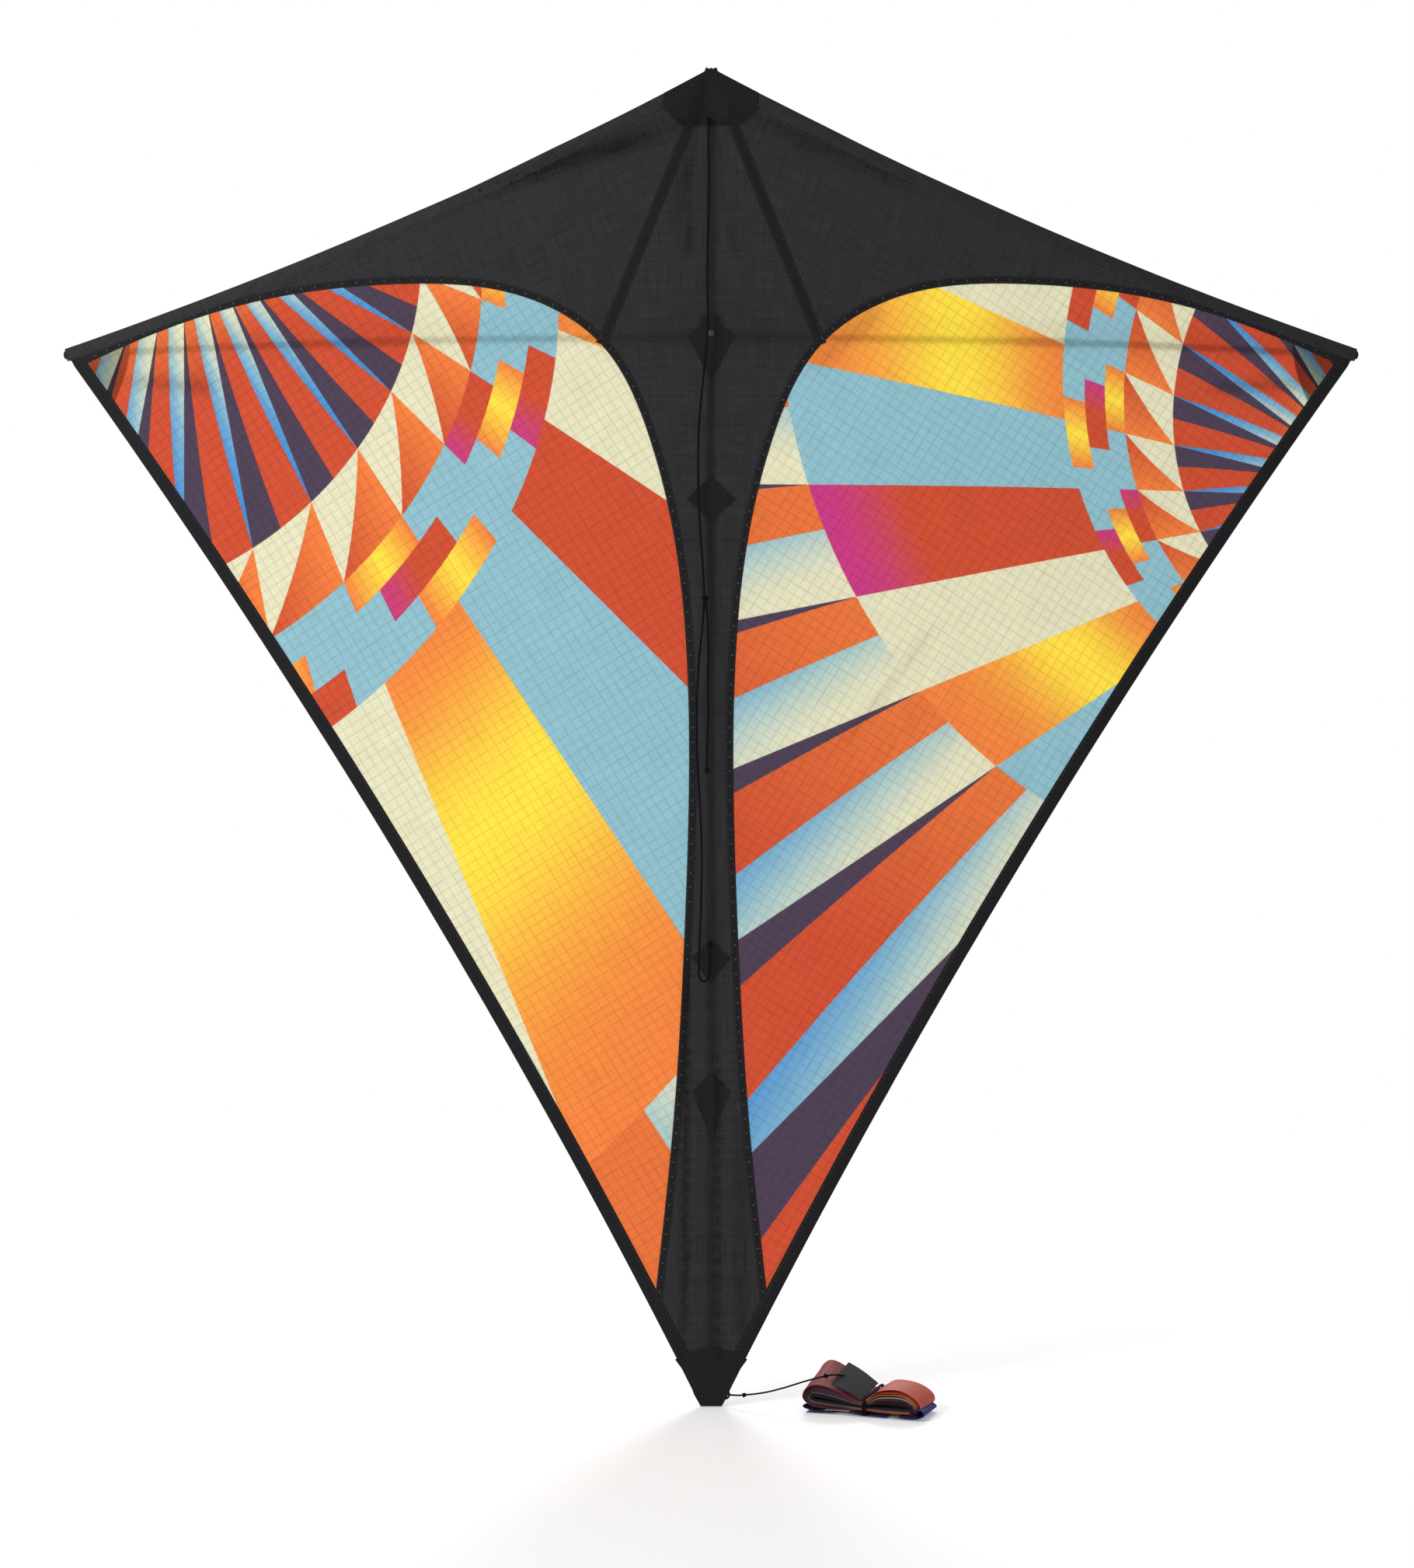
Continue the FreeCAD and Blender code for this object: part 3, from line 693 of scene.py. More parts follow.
def cut_cloth(outline, lines=(), spacing=4.5):
    """Triangles of a flat outline: points, and corners of each triangle. Its edges follow the lines."""
    points = [tuple(p) for p in outline]
    edges = [(i, (i + 1) % len(points)) for i in range(len(points))]
    for line in lines:
        start = len(points)
        points += [tuple(p) for p in line]
        edges += [(i, i + 1) for i in range(start, len(points) - 1)]
    fixed = np.array(points)
    low, high = np.array(outline).min(axis=0), np.array(outline).max(axis=0)
    xs = np.arange(low[0] + spacing / 2, high[0], spacing)
    zs = np.arange(low[1] + spacing / 2, high[1], spacing)
    grid = np.stack(np.meshgrid(xs, zs), axis=-1)
    grid[1::2, :, 0] += spacing / 2
    grid = grid.reshape(-1, 2)
    grid = grid[inside(grid, np.array(outline))]
    clear = np.full(len(grid), 1e9)
    for i, j in edges:
        a, b = fixed[i], fixed[j]
        along = np.clip(((grid - a) @ (b - a)) / max(((b - a) ** 2).sum(), 1e-9), 0, 1)
        clear = np.minimum(clear, np.linalg.norm(grid - a - along[:, None] * (b - a), axis=1))
    grid = grid[clear > spacing * 0.45]
    places = [Vector(p) for p in points] + [Vector(p) for p in grid]
    places, _, faces, *_ = delaunay_2d_cdt(places, edges, [], 0, 1e-4)
    places = np.array(places)
    faces = np.array(faces)
    middles = places[faces].mean(axis=1)
    return places, faces[inside(middles, np.array(outline))]


def put_in_scene(name, data):
    """A new object that shows this mesh, curve, light or camera."""
    thing = bpy.data.objects.new(name, data)
    bpy.context.scene.collection.objects.link(thing)
    return thing


def new_piece(name, vertices, faces, material, cut=None, smooth_angle=40.0):
    """A mesh object. cut gives each vertex's place in the flat cloth, in millimetres."""
    mesh = bpy.data.meshes.new(name)
    mesh.from_pydata([tuple(v) for v in vertices], [], [tuple(f) for f in faces])
    if cut is not None:
        layer = mesh.uv_layers.new(name="cut")
        corners = np.zeros(len(mesh.loops), int)
        mesh.loops.foreach_get("vertex_index", corners)
        layer.data.foreach_set("uv", (np.array(cut)[corners] * MM).ravel())
    mesh.shade_smooth()
    mesh.set_sharp_from_angle(angle=math.radians(smooth_angle))
    mesh.materials.append(MATERIALS[material])
    return put_in_scene(name, mesh)


def thin_sheet(name, plan, faces, side, depth, thickness, material):
    """A closed thin sheet on the right half of the sail, or mirrored to the left with side -1."""
    used = np.unique(faces)
    place = np.zeros(len(plan), int)
    place[used] = np.arange(len(used))
    faces = place[faces]
    plan = plan[used] * np.array([side, 1.0])
    if side < 0:
        faces = faces[:, ::-1]
    n = len(plan)
    vertices = np.concatenate([lay(plan, depth), lay(plan, depth + thickness)])
    edges = {}
    for a, b, c in faces.tolist():
        edges.update({(a, b): True, (b, c): True, (c, a): True})
    rim = [(a, b) for a, b in edges if (b, a) not in edges]
    walls = [(a, a + n, b + n, b) for a, b in rim]
    polygons = faces.tolist() + (faces[:, ::-1] + n).tolist() + walls
    piece = new_piece(name, vertices, polygons, material, np.concatenate([plan, plan]))
    # Painted shade along the creases' valleys, kept in the fold attribute for the cloth's shader.
    painted_shade = piece.data.attributes.new("fold", "FLOAT", "POINT")
    painted_shade.data.foreach_set("value", np.tile(painted_fold_shade(plan), 2))
    return piece


def ring_faces(rows, ring, closed=False):
    """The sides of a tube: rows of points, with a ring of them in each row."""
    faces = []
    for i in range(rows if closed else rows - 1):
        n = (i + 1) % rows
        for j in range(ring):
            k = (j + 1) % ring
            faces.append((i * ring + j, i * ring + k, n * ring + k, n * ring + j))
    return faces


def ribbon_on_sail(name, line, inwards, width, profile, side, material):
    """A band along a line of the sail. profile gives its section: across from 0 to 1, and depth."""
    line, inwards = np.array(line), np.array(inwards)
    count, ring = len(line), len(profile)
    run = run_along(line)
    vertices = []
    cut = []
    for across, depth in profile:
        plan = (line + inwards * width * across) * np.array([side, 1.0])
        vertices.append(lay(plan, depth))
        cut.append(np.stack([np.full(count, across * width), run], axis=1))
    vertices = np.array(vertices).transpose(1, 0, 2).reshape(-1, 3)
    cut = np.array(cut).transpose(1, 0, 2).reshape(-1, 2)
    faces = ring_faces(count, ring)
    faces.append(tuple(range(ring))[::-1])
    faces.append(tuple(range((count - 1) * ring, count * ring)))
    if side < 0:
        faces = [f[::-1] for f in faces]
    return new_piece(name, vertices, faces, material, cut)


# Sections of the bands, from the outer edge round: across the width, and depth in millimetres.
FOLDED_OVER = [(0.0, 0.15), (0.02, -0.12), (0.07, -0.34), (0.5, -0.42), (0.9, -0.36), (1.0, -0.10),
               (1.0, 0.42), (0.9, 0.64), (0.5, 0.70), (0.07, 0.62), (0.02, 0.42)]
FLAT_TAPE = [(0.0, 0.05), (0.0, -0.12), (0.06, -0.24), (0.5, -0.28), (0.94, -0.24), (1.0, -0.12),
             (1.0, 0.05)]


# Stitches, in millimetres.
STITCH_PITCH = 3.4
STITCH_LENGTH = 2.3
STITCH_HEIGHT = 0.22
STITCH_HALF_WIDTH = 0.24
STITCH_DEPTH = -0.42

# How far inside the edge of each band its row of stitches runs.
EDGE_ROW = 1.4
SEAM_ROW = 1.0
CURVED_ROW = 0.9


def stitch_points(line, inwards, across):
    """Ends of the stitches of a row beside a line."""
    line = np.array(line) + np.array(inwards) * across
    run = run_along(line)
    starts = np.arange(STITCH_PITCH / 2, run[-1] - STITCH_LENGTH, STITCH_PITCH)

    def at(s):
        return np.stack([np.interp(s, run, line[:, 0]), np.interp(s, run, line[:, 1])], axis=1)

    return np.stack([at(starts), at(starts + STITCH_LENGTH)], axis=1)


def stitching(name, rows, side):
    """Raised stitches on the sail, joined in one piece. rows holds each stitch's two ends."""
    ends = np.concatenate(rows) * np.array([side, 1.0])
    starts, stops = ends[:, 0], ends[:, 1]
    way = stops - starts
    way /= np.linalg.norm(way, axis=1)[:, None]
    square = np.stack([way[:, 1], -way[:, 0]], axis=1) * STITCH_HALF_WIDTH
    vertices = []
    for share, lift, wide in ((0.0, 0.0, 0.4), (0.3, 1.0, 1.0), (0.7, 1.0, 1.0), (1.0, 0.0, 0.4)):
        middle = starts + (stops - starts) * share
        for offset in (-1.0, 0.0, 1.0):
            rise = STITCH_HEIGHT * lift * (1.0 - abs(offset))
            vertices.append(lay(middle + square * offset * wide, STITCH_DEPTH - rise))
    vertices = np.array(vertices).transpose(1, 0, 2)
    faces = []
    for i in range(len(vertices)):
        base = 12 * i
        for a in (base, base + 3, base + 6):
            faces += [(a, a + 3, a + 4, a + 1), (a + 1, a + 4, a + 5, a + 2), (a + 2, a + 5, a + 3, a)]
        faces += [(base, base + 1, base + 2), (base + 11, base + 10, base + 9)]
    return new_piece(name, vertices.reshape(-1, 3), faces, "thread")


# A sheet's flat cut can't be declared as less than this share of its rectangle.
LEAST_FILL = 0.301


def unrolled(plan):
    """Plan points laid out flat, as the cloth was cut."""
    x = SAIL_RADIUS * np.arcsin(plan[:, 0] / SAIL_RADIUS)
    return np.stack([x, plan[:, 1]], axis=1)


def flat_facts(plan, faces):
    """The smallest rectangle that the flat cut fits in, and its area, in metres."""
    flat = unrolled(plan) * MM
    used = flat[np.unique(faces)]
    best = None
    for degrees in range(0, 90, 3):
        t = math.radians(degrees)
        turned = used @ np.array([[math.cos(t), -math.sin(t)], [math.sin(t), math.cos(t)]])
        size = turned.max(axis=0) - turned.min(axis=0)
        if best is None or size[0] * size[1] < best[0] * best[1]:
            best = size
    a, b, c = (flat[faces[:, i]] for i in range(3))
    one, two = b - a, c - a
    area = np.abs(one[:, 0] * two[:, 1] - one[:, 1] * two[:, 0]).sum() / 2
    least = LEAST_FILL * best[0] * best[1]
    return (float(best.min()), float(best.max())), float(max(area, least))


def bend_with_wing(piece):
    """Bakes the piece's place and turn into its mesh."""
    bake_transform(piece)


# ---------------------------------------------------------------- cords

def cord_curve(name, route, diameter):
    """A smooth round cord along a route."""
    curve = bpy.data.curves.new(name, "CURVE")
    curve.dimensions = "3D"
    curve.bevel_depth = diameter / 2
    curve.bevel_resolution = 3
    curve.resolution_u = 10
    curve.use_fill_caps = True
    line = curve.splines.new("NURBS")
    line.points.add(len(route) - 1)
    for point, place in zip(line.points, route):
        point.co = (*place, 1.0)
    line.order_u = 3
    line.use_endpoint_u = True
    curve.materials.append(MATERIALS["cord"])
    return put_in_scene(name, curve)


def ring_tube(name, line, radius, along):
    """A closed loop of round cord along a line of points, which nowhere runs the way of along."""
    ring = 8
    vertices = []
    for i, place in enumerate(line):
        way = (line[(i + 1) % len(line)] - line[i - 1]).normalized()
        side = way.cross(Vector(along)).normalized()
        up = side.cross(way)
        for j in range(ring):
            a = 2 * math.pi * j / ring
            vertices.append(place + (side * math.cos(a) + up * math.sin(a)) * radius)
    faces = ring_faces(len(line), ring, closed=True)
    return new_piece(name, vertices, faces, "cord", smooth_angle=70.0)


def knot(name, centre, size, thickness, tilt):
    """A tied overhand knot: a cord of that thickness in a three-lobed loop of that half size."""
    count = 48
    tallness = 1.3
    turn = Matrix.Rotation(tilt[2], 3, "Z") @ Matrix.Rotation(tilt[1], 3, "Y")
    turn = turn @ Matrix.Rotation(tilt[0], 3, "X")
    scale = (size - thickness / 2) / 3.0
    line = []
    for i in range(count):
        t = 2 * math.pi * i / count
        place = Vector((math.sin(t) + 2 * math.sin(2 * t), -math.sin(3 * t) * 1.1,
                        math.cos(t) - 2 * math.cos(2 * t)))
        place = turn @ (place * scale)
        place.z *= tallness
        line.append(place + Vector(centre))
    return ring_tube(name, line, thickness / 2, (0.3, 1.0, 0.2))


# Half sizes in metres and turns in radians.
BRIDLE_KNOTS = {
    "upper_anchor": (0.0022, (0.3, 0.2, 0.4)),
    "lower_anchor": (0.0020, (0.1, 0.9, 0.2)),
    "tow_knot": (0.0024, (0.5, 0.1, 0.7)),
    "pigtail_knot": (0.0021, (0.2, 0.5, 1.1)),
}


def make_cords():
    bridle = cord_curve("bridle_cord", BRIDLE_ROUTE, BRIDLE_D)
    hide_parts("bridle_line")
    pigtail = cord_curve("pigtail_cord", PIGTAIL_ROUTE, BRIDLE_D)
    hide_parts("tow_pigtail")
    leader = cord_curve("leader_cord", LEADER_ROUTE, LEADER_D)
    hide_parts("tail_leader")
    made = {}
    for node, (size, tilt) in BRIDLE_KNOTS.items():
        low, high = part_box(node)
        centre = (Vector(low) + Vector(high)) / 2
        made[node] = knot(node + "_tied", centre, size, BRIDLE_D, tilt)
        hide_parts(node)
    first = knot("leader_knot_inner", LEADER_ROUTE[2], 0.0016, LEADER_D, (0.4, 0.3, 0.2))
    second = knot("leader_knot_outer", LEADER_ROUTE[6], 0.0017, LEADER_D, (0.9, 0.6, 0.5))
    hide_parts("leader_knots")
    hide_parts("leader_knots")
    for piece in (bridle, pigtail, leader, first, second, *made.values()):
        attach(piece, "root")


# ---------------------------------------------------------------- the sail

LEADING_LINE = arc(NOSE, TIP_TOP, UPPER_HOLLOW)
TRAILING_LINE = arc(TIP_LOW, TAIL_CORNER, LOWER_HOLLOW)
PANEL_LINE = spline(PANEL_EDGE)
SEAM_LINE = straight(SEAM_TOP, SEAM_FOOT)


def edge_x(line, z):
    """How far from the spine a line that runs down is at a height."""
    return np.interp(-z, [-p[1] for p in line], [p[0] for p in line])


def half_outline():
    """The right half of the sail, from the nose round by the wing tip."""
    trailing = [p for p in TRAILING_LINE if p[1] > CLOTH_END_Z]
    foot = straight((edge_x(TRAILING_LINE, CLOTH_END_Z), CLOTH_END_Z), (0.0, CLOTH_END_Z))
    spine = straight((0.0, CLOTH_END_Z), NOSE)
    around = LEADING_LINE + straight(TIP_TOP, TIP_LOW)[1:] + trailing[1:] + foot + spine[1:-1]
    return around[::-1]


def clipped(line, outline):
    """The points of a line that lie inside an outline."""
    line = np.array(line)
    return line[inside(line, np.array(outline))]


def make_sail():
    """The cloth of each half in three sheets, with what is sewn to them."""
    outline = half_outline()
    print_line = clipped(PANEL_LINE, outline)
    plan, faces = cut_cloth(outline, [PANEL_LINE, SEAM_LINE])
    middles = plan[faces].mean(axis=1)
    beyond = [(BEYOND_TIP, PANEL_EDGE[-1][1]), (BEYOND_TIP, PANEL_EDGE[0][1])]
    printed = inside(middles, np.array(PANEL_LINE + [np.array(p) for p in beyond]))
    seam_way = np.array(SEAM_FOOT) - np.array(SEAM_TOP)
    off = middles - np.array(SEAM_TOP)
    right_of_seam = off[:, 0] * seam_way[1] - off[:, 1] * seam_way[0] < 0
    outer = ~printed & right_of_seam & (middles[:, 1] > WING_PANEL_LOWEST)
    parts = {
        "wing_panel": (faces[outer], "wing_black", "ripstop_black"),
        "printed_panel": (faces[printed], "print", "ripstop_print"),
        "centre_panel": (faces[~printed & ~outer], "centre_black", "ripstop_black"),
    }
    for side, hand in ((-1, "left"), (1, "right")):
        extras = make_trim(side, hand, print_line)
        for part, (part_faces, material, slot) in parts.items():
            if material == "print":
                material = "print_" + hand
            sheet = thin_sheet(hand + "_" + part + "_cloth", plan, part_faces, side, 0.0,
                               CLOTH_THICKNESS, material)
            nodes = [hand + "_" + part]
            if part == "centre_panel":
                nodes.append("centre_strip")
            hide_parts(*nodes)
            bend_with_wing(sheet)
        for part, (part_faces, _, _) in parts.items():
            flat, area = flat_facts(plan, part_faces)


def make_trim(side, hand, print_line):
    """Hem, binding, seam tapes, patches and stitches of one half, by the sheet that they are on."""
    leading = np.array(LEADING_LINE)
    trailing = np.array([p for p in TRAILING_LINE if p[1] > CLOTH_END_Z])
    seam = np.array(SEAM_LINE)
    leading_side, trailing_side, seam_side, print_side = (
        normals_of(line) for line in (leading, trailing, seam, print_line))
    seam_edge = seam - seam_side * SEAM_BAND / 2
    hem = ribbon_on_sail(hand + "_leading_hem_fold", leading, leading_side, EDGE_BAND,
                         FOLDED_OVER, side, "hem")
    binding = ribbon_on_sail(hand + "_trailing_binding_tape", trailing, trailing_side, EDGE_BAND,
                             FOLDED_OVER, side, "tape")
    straight_tape = ribbon_on_sail(hand + "_straight_seam_tape", seam_edge, seam_side, SEAM_BAND,
                                   FLAT_TAPE, side, "tape")
    curved_tape = ribbon_on_sail(hand + "_curved_seam_tape", print_line, print_side, CURVED_SEAM,
                                 FLAT_TAPE, side, "holed_tape")
    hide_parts(hand + "_leading_hem")
    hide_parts(hand + "_trailing_binding")
    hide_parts(hand + "_seam_tapes")
    rows = [
        stitch_points(leading, leading_side, EDGE_BAND - EDGE_ROW),
        stitch_points(trailing, trailing_side, EDGE_BAND - EDGE_ROW),
        stitch_points(seam, seam_side, -SEAM_BAND / 2 + SEAM_ROW),
        stitch_points(seam, seam_side, SEAM_BAND / 2 - SEAM_ROW),
        stitch_points(print_line, print_side, CURVED_ROW),
        stitch_points(print_line, print_side, CURVED_SEAM - CURVED_ROW),
    ]
    stitches = stitching(hand + "_stitching", rows, side)
    for piece in (hem, binding, straight_tape, curved_tape, stitches):
        bend_with_wing(piece)
    patches = make_patches(side, hand)
    return {
        "wing_panel": [hem],
        "printed_panel": [binding],
        "centre_panel": [straight_tape, curved_tape, stitches, *patches],
    }


# Depth behind the sail's front face and thickness, in millimetres.
DIAMOND_LAYER = (-0.48, 0.44)
END_PATCH_LAYER = (-0.80, 0.36)
BACKING_DEPTH = 0.45


def nose_outline():
    """The right half of the nose patch."""
    side_x = 31.5
    corner = (side_x, 148.5)
    leading = [p for p in LEADING_LINE if p[0] < 60]
    top_z = np.interp(side_x, [p[0] for p in leading], [p[1] for p in leading])
    edge = [tuple(p) for p in leading[::-1] if p[0] < side_x]
    return [(0.0, 138.0), (19.8, 138.0), corner, (side_x, top_z)] + edge


def tail_outline():
    """The right half of the tail patch, which reaches over the tail cap."""
    half_width = 24
    top = [(half_width * s, -672.5 - 7.5 * s * s) for s in np.linspace(0, 1, 8)]
    trailing = [p for p in TRAILING_LINE if p[1] > CLOTH_END_Z]
    edge = [(edge_x(trailing, z), z) for z in np.linspace(CLOTH_END_Z, -686.0, 6)]
    return [(0.0, TAIL_CORNER[1]), TAIL_CORNER] + edge + top[::-1]


def make_patches(side, hand):
    """The patches of one half, each cut down the centre line."""
    made = []
    outlines = {}
    for node, (top, corner, bottom) in DIAMONDS.items():
        outline = straight(bottom, corner) + straight(corner, top)[1:] + straight(top, bottom)[1:-1]
        outlines[node] = (outline, *DIAMOND_LAYER)
    outlines["nose_patch"] = (nose_outline(), *END_PATCH_LAYER)
    outlines["tail_patch"] = (tail_outline(), *END_PATCH_LAYER)
    for node, (outline, depth, thickness) in outlines.items():
        plan, faces = cut_cloth([np.array(p, float) for p in outline], spacing=3.0)
        piece = thin_sheet(hand + "_" + node + "_half", plan, faces, side, depth, thickness, "patch")
        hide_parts(node)
        bend_with_wing(piece)
        made.append(piece)
    made.append(make_tip_backing(side, hand))
    return made


def make_tip_backing(side, hand):
    """The coloured cloth behind a wing tip, as far in as a curved line."""
    outline = half_outline()
    inner = spline([(401.5, 30.0), (400.5, -6.0), (416.0, -44.0)])
    beyond = [np.array((BEYOND_TIP, end[1])) for end in (inner[-1], inner[0])]
    plan, faces = cut_cloth(outline, [inner], spacing=6.0)
    faces = faces[inside(plan[faces].mean(axis=1), np.array(inner + beyond))]
    piece = thin_sheet(hand + "_tip_backing_cloth", plan, faces, side, BACKING_DEPTH, CLOTH_THICKNESS,
                       "tip_backing")
    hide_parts(hand + "_tip_backing")
    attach(piece, hand + "_wing")
    return piece


# ---------------------------------------------------------------- the folded tail

# The bundle's own axes: u along it, w across it towards the front, z above the floor.
HANK_CENTRE = (103.0, -22.0)
HANK_TURN = math.radians(20.0)
RIBBON_HALF = 19.0
ROLL_BACK = [(0, 4.0), (-20, 3.2), (-35, 5.0), (-41, 14.0), (-39, 25.0), (-31, 31.0), (-19, 26.5),
             (1, 13.5), (14, 18.5), (28, 17.5), (38, 12.5), (40.5, 6.5), (34, 3.0), (15, 3.0)]
ROLL_FRONT = [(0, 4.0), (-18, 3.4), (-32, 4.2), (-39.5, 9.0), (-38, 16.0), (-30, 19.8), (-19, 18.2),
              (1, 9.5), (13, 17.0), (27, 18.5), (38.5, 13.0), (41.5, 6.5), (35, 3.2), (15, 3.0)]
CORE_U = (-31.0, 0.0, 32.0)
CORE_BACK = (15.0, 7.5, 6.5)
CORE_FRONT = (9.5, 6.5, 6.0)
ROLL_TURNS = 7.0
ROLL_DEPTH = 0.86
ROLL_START = 0.52
ROLL_SLACK = 0.05
RAGGED_EDGE = 1.6

# Thicknesses in metres.
RIBBON_THICKNESS = 0.00018
TAB_THICKNESS = 0.0007
TIE_RADIUS = 0.0007


def hank_points(u, w, z):
    """Points of the folded tail, from its own axes to metres in the kite's frame."""
    x = HANK_CENTRE[0] + u * math.cos(HANK_TURN) - w * math.sin(HANK_TURN)
    y = HANK_CENTRE[1] - u * math.sin(HANK_TURN) - w * math.cos(HANK_TURN)
    return np.stack([x * MM, y * MM, FLOOR_Z + z * MM], axis=-1)


def round_curve(points, places):
    """A smooth closed line through points, at places counted from 0 to 1 round it."""
    points = np.array(points, float)
    n = len(points)
    at = np.asarray(places) % 1.0 * n
    i = np.floor(at).astype(int)
    t = (at - i)[..., None]
    a, b, c, d = (points[(i + k) % n] for k in (-1, 0, 1, 2))
    return 0.5 * (2 * b + (c - a) * t + (2 * a - 5 * b + 4 * c - d) * t**2
                  + (3 * b - a - 3 * c + d) * t**3)


def thick_grid(name, points, cut, thickness, material):
    """A closed thin sheet over a grid of points, in metres. cut is in millimetres."""
    rows, columns = points.shape[:2]
    along = np.gradient(points, axis=0)
    across = np.gradient(points, axis=1)
    normals = np.cross(along, across)
    normals /= np.linalg.norm(normals, axis=2)[:, :, None]
    shell = np.concatenate([(points + normals * thickness / 2).reshape(-1, 3),
                            (points - normals * thickness / 2).reshape(-1, 3)])
    n = rows * columns
    faces = []
    for i in range(rows - 1):
        for j in range(columns - 1):
            a, b = i * columns + j, (i + 1) * columns + j
            faces.append((a, b, b + 1, a + 1))
            faces.append((a + n, a + 1 + n, b + 1 + n, b + n))
    rim = [i * columns for i in range(rows)]
    rim += [(rows - 1) * columns + j for j in range(1, columns)]
    rim += [i * columns + columns - 1 for i in range(rows - 2, -1, -1)]
    rim += [j for j in range(columns - 2, 0, -1)]
    faces += [(b, a, a + n, b + n) for a, b in zip(rim, rim[1:] + rim[:1])]
    flat = cut.reshape(-1, 2)
    return new_piece(name, shell, faces, material, np.concatenate([flat, flat]))


def ribbon_grid(u, z, w):
    """A grid of points of the tail ribbon, their places in its flat cut, and its length."""
    points = hank_points(u, w, z)
    run = run_along(points[:, points.shape[1] // 2]) / MM
    across = np.linspace(-RIBBON_HALF, RIBBON_HALF, points.shape[1])
    cut = np.stack(np.broadcast_arrays(across[None, :], run[:, None]), axis=-1)
    return points, cut, run[-1]


def make_roll():
    """The ribbon, wound flat from the tab inwards and pinched at its waist."""
    stations = np.linspace(ROLL_START, ROLL_START + ROLL_TURNS, 640)
    columns = 9
    share = np.linspace(0.0, 1.0, columns)[None, :, None]
    back = round_curve(ROLL_BACK, stations)
    front = round_curve(ROLL_FRONT, stations)
    outer = back[:, None] * (1 - share) + front[:, None] * share
    core_u = np.clip(outer[..., 0], CORE_U[0], CORE_U[-1])
    core_back = np.interp(core_u, CORE_U, CORE_BACK)
    core_front = np.interp(core_u, CORE_U, CORE_FRONT)
    core_z = core_back * (1 - share[..., 0]) + core_front * share[..., 0]
    wound = (stations - stations[0]) / ROLL_TURNS
    inwards = (ROLL_DEPTH * wound**0.9)[:, None]
    slack = np.array([[noise.noise(Vector((t * 2.3, 4.0 * float(k), 1.5))) for k in share[0, :, 0]]
                      for t in stations])
    inwards = np.clip(inwards + ROLL_SLACK * slack * (wound[:, None] > 0.1), 0.0, 0.92)
    u = outer[..., 0] * (1 - inwards) + core_u * inwards
    z = outer[..., 1] * (1 - inwards) + core_z * inwards
    ragged = np.array([noise.noise(Vector((t * 1.7, 8.0, 0.0))) for t in stations])[:, None]
    w = np.linspace(-RIBBON_HALF, RIBBON_HALF, columns)[None, :] + RAGGED_EDGE * ragged + 0 * u
    points, cut, total = ribbon_grid(u, z, w)
    return thick_grid("tail_ribbon_roll", points, cut, RIBBON_THICKNESS, "ribbon"), total


def make_strip():
    """The last folds of the ribbon, lying flat under the roll with a fold at each end."""
    path = [(-8, 2.6), (-24, 2.2), (-36, 1.9), (-40.5, 3.6), (-36.5, 5.2), (-33, 2.9), (-37, 0.8),
            (-20, 0.7), (0, 0.9), (20, 0.6), (34, 0.7), (38.5, 1.1), (44.0, 3.8), (40.5, 6.6),
            (34, 4.0), (38, 2.2), (26, 1.6)]
    line = np.array(spline(path, 2.0))
    columns = 7
    share = np.linspace(-1.0, 1.0, columns)[None, :]
    u = line[:, :1] + 1.2 * share
    z = line[:, 1:] * (1 + 0.12 * share)
    w = RIBBON_HALF * share + 1.5 + 0.06 * line[:, :1]
    points, cut, total = ribbon_grid(u, z, w)
    return thick_grid("tail_ribbon_end", points, cut, RIBBON_THICKNESS, "ribbon_end"), total


def make_tab():
    """The stiff cloth tab that the leader is tied to, lying over the left lobe."""
    high_back, high_front = np.array([(-19.0, -18.0, 27.9), (-19.5, 18.5, 19.9)])
    low_back, low_front = np.array([(1.5, -18.0, 15.2), (1.0, 18.5, 10.4)])
    i = np.linspace(0, 1, 14)[:, None, None]
    j = np.linspace(0, 1, 12)[None, :, None]
    high_edge = high_back * (1 - j) + high_front * j
    low_edge = low_back * (1 - j) + low_front * j
    grid = high_edge * (1 - i) + low_edge * i
    rise = 0.9 * np.sin(np.pi * i[..., 0]) + 0.4 * np.sin(np.pi * j[..., 0])
    points = hank_points(grid[..., 0], grid[..., 1], grid[..., 2] + rise)
    cut = np.stack([grid[..., 1], grid[..., 0]], axis=-1)
    return thick_grid("tail_tab_cloth", points, cut, TAB_THICKNESS, "tab")


def make_tie(index):
    """One turn of the thin cord that is tied round the waist of the bundle."""
    shift = 1.5 * index
    around = [(2.2 + shift, 0, 0.9), (2.6 + shift, 18.6, 0.9), (2.8 + shift, 20.4, 3.4),
              (3.0 + shift, 20.0, 8.6), (3.4, 17.0, 11.2 + 0.3 * index), (3.6 + shift, 0, 13.2),
              (4.0, -17.5, 14.6), (3.4 + shift, -20.2, 12.0), (2.6 + shift, -20.4, 4.0),
              (2.2 + shift, -18.4, 0.9)]
    line = round_curve(around, np.linspace(0, 1, 72, endpoint=False))
    line = [Vector(p) for p in hank_points(line[:, 0], line[:, 1], line[:, 2])]
    along = (math.cos(HANK_TURN), -math.sin(HANK_TURN), 0.0)
    return ring_tube("tail_tie_turn_%d" % (index + 1), line, TIE_RADIUS, along)


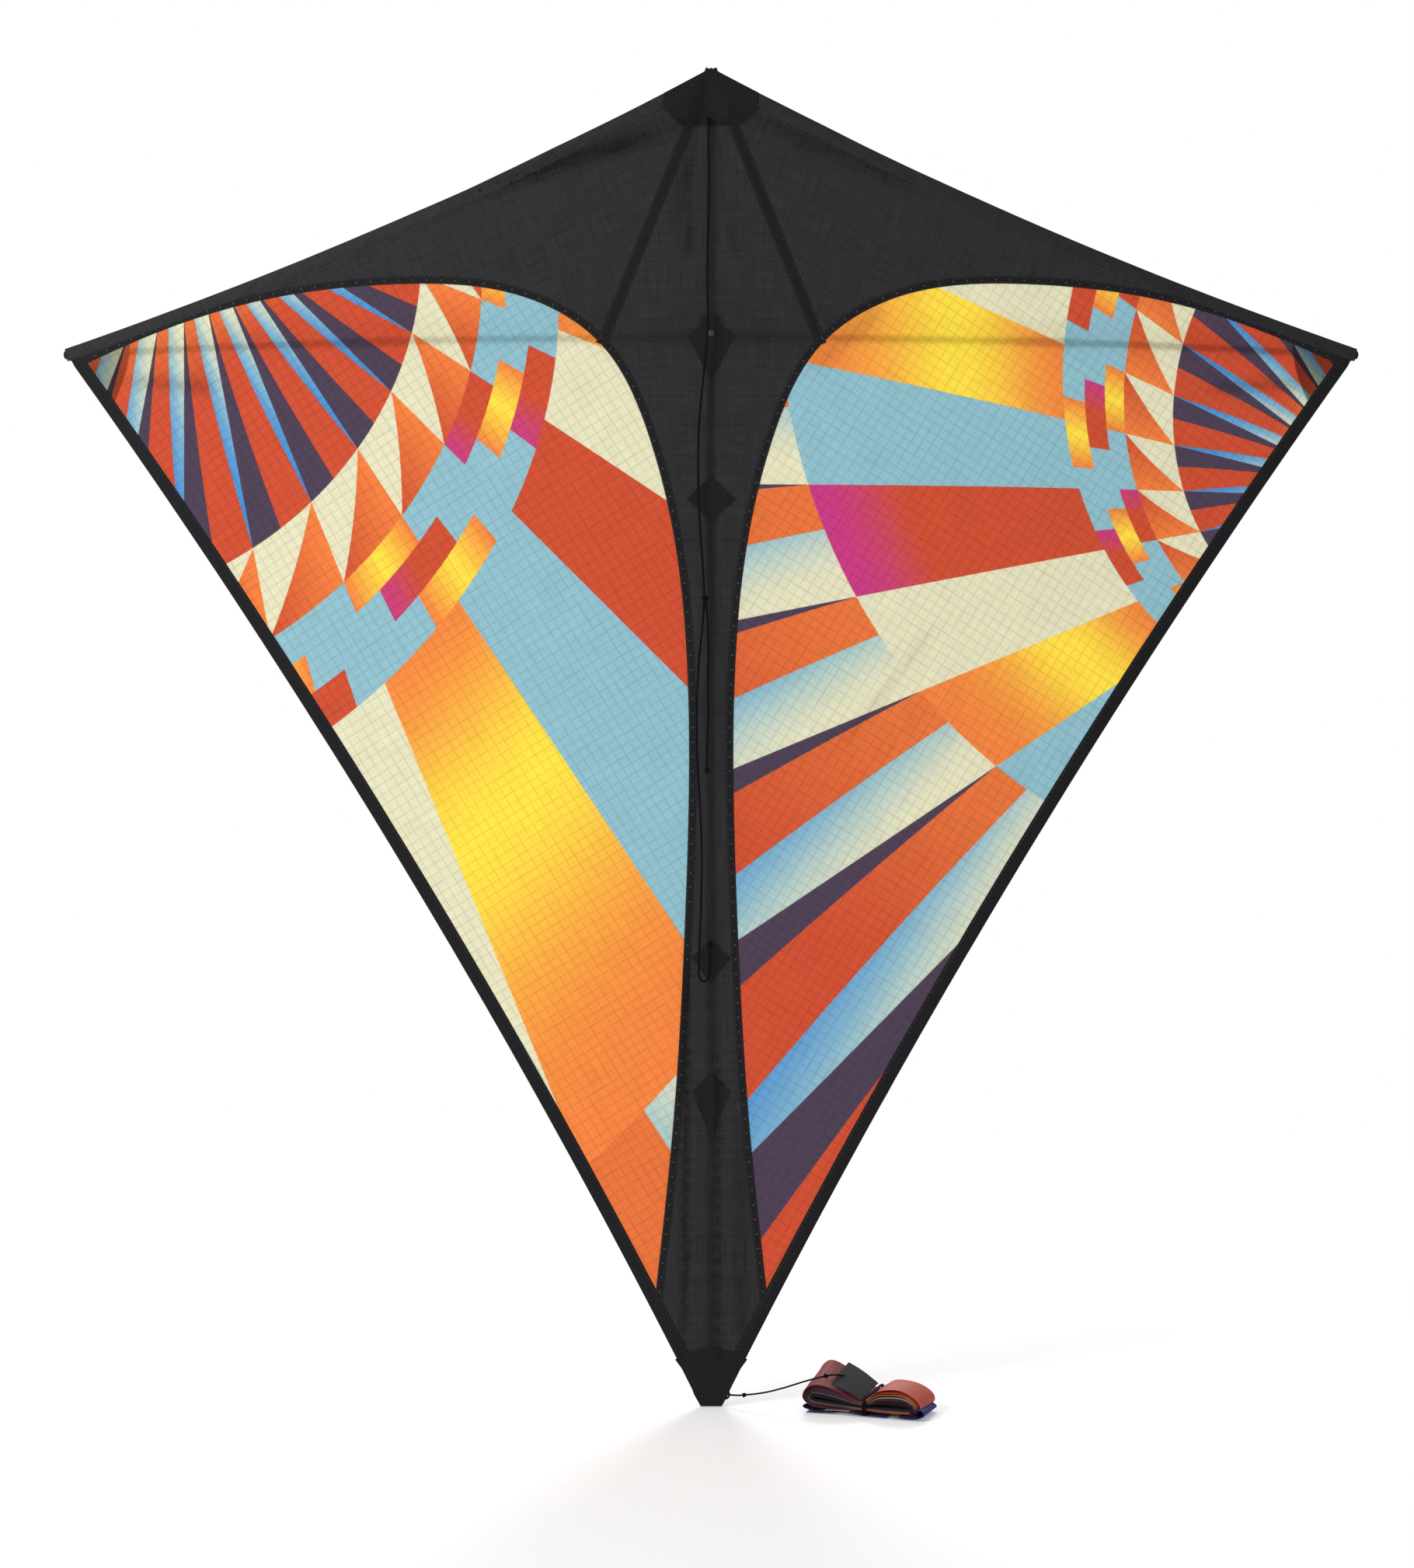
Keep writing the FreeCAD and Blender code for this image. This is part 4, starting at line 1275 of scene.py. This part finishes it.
def make_tail():
    """The folded tail: the wound ribbon, its last folds, the tab and the tie."""
    roll, roll_length = make_roll()
    strip, strip_length = make_strip()
    tab = make_tab()
    ties = [make_tie(0), make_tie(1)]
    for piece in (roll, strip):
        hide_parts("tail_ribbon")
    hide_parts("tail_tab")
    for tie in ties:
        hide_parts("tail_tie")
    for piece in (roll, strip, tab, *ties):
        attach(piece, "root")
    roll_length * MM
    strip_length * MM


# ---------------------------------------------------------------- frame parts

FINISHES = {
    "tube": ["spine_upper", "spine_middle", "spine_lower", "*_spar_inner", "*_spar_outer"],
    "metal": ["spine_ferrules", "*_spar_ferrule"],
    "elastic": ["spine_elastic", "*_spar_elastic"],
    "moulding": ["centre_hub", "*_fitting_arm"],
    "cap": ["nose_cap", "tail_cap", "*_tip_cap", "tail_eye"],
    "button": ["centre_button"],
    "webbing": ["nose_pocket", "tail_pocket", "*_tip_pocket", "spine_keepers"],
}


def finish_frame_parts():
    """Gives every node that Blender doesn't rebuild its material. A * stands for left and for right."""
    for material, names in FINISHES.items():
        for name in names:
            for node in {name.replace("*", "left"), name.replace("*", "right")}:
                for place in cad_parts[node].material_slots:
                    place.material = MATERIALS[material]


# ---------------------------------------------------------------- the studio

# The floor fades out between these distances, in metres.
FLOOR_FADE = (0.8, 1.9)


def make_floor():
    """A wide pale floor, which fades out into the white surroundings."""
    mesh = bpy.data.meshes.new("studio_floor")
    size = 6.0
    corners = [(-size, -size), (size, -size), (size, size), (-size, size)]
    mesh.from_pydata([(x, y, FLOOR_Z - 0.0002) for x, y in corners], [], [(0, 1, 2, 3)])
    floor = put_in_scene("studio_floor", mesh)
    material, tree, shader, output = new_material("studio_floor")
    fill(tree, shader, {
        "Base Color": (0.84, 0.84, 0.84, 1.0),
        "Roughness": 0.9,
        "Emission Color": (1.0, 1.0, 1.0, 1.0),
        "Emission Strength": 0.22,
    })
    length = add_node(tree, "ShaderNodeVectorMath", {0: object_place(tree)})
    length.operation = "LENGTH"
    fade = Term(tree, length.outputs["Value"]).ramp(*FLOOR_FADE)
    clear = tree.nodes.new("ShaderNodeBsdfTransparent")
    both = add_node(tree, "ShaderNodeMixShader", {0: fade, 1: shader.outputs[0], 2: clear.outputs[0]})
    tree.links.new(both.outputs[0], output.inputs[0])
    mesh.materials.append(material)


def area_light(name, place, target, size, power):
    light = bpy.data.lights.new(name, "AREA")
    light.shape = "DISK"
    light.size = size
    light.energy = power
    lamp = put_in_scene(name, light)
    lamp.location = place
    lamp.rotation_mode = "QUATERNION"
    lamp.rotation_quaternion = (Vector(target) - Vector(place)).to_track_quat("-Z", "Y")
    lamp.visible_camera = False


# The share of the white surroundings' light that falls on the kite.
AMBIENT = 0.6


def make_studio():
    make_floor()
    world = bpy.data.worlds.new("studio")
    world.use_nodes = True
    tree = world.node_tree
    seen = Term(tree, tree.nodes.new("ShaderNodeLightPath").outputs["Is Camera Ray"])
    fill(tree, tree.nodes["Background"], {
        "Color": (1.0, 1.0, 1.0, 1.0),
        "Strength": seen * (1.0 - AMBIENT) + AMBIENT,
    })
    bpy.context.scene.world = world
    area_light("key", (-1.6, -1.4, 0.6), (0, 0, -0.2), size=1.0, power=26.0)
    area_light("back", (0.15, 2.3, 0.65), (0, 0, -0.25), size=0.8, power=33.0)
    bpy.context.scene.view_settings.view_transform = "Standard"


CAMERA_DISTANCE = 2.2
VIEW_HEIGHT = 1.0413
CAMERA_PLACE = (-0.0028, -CAMERA_DISTANCE, -0.2987)


def make_camera():
    """Square on, and as high as the picture needs."""
    data = bpy.data.cameras.new("camera")
    data.sensor_width = 36.0
    data.lens = data.sensor_width * CAMERA_DISTANCE / VIEW_HEIGHT
    data.clip_end = 50.0
    camera = put_in_scene("camera", data)
    camera.location = CAMERA_PLACE
    camera.rotation_euler = (math.pi / 2, 0.0, 0.0)
    bpy.context.scene.camera = camera


make_camera()
make_studio()
make_cords()
make_sail()
make_tail()
finish_frame_parts()
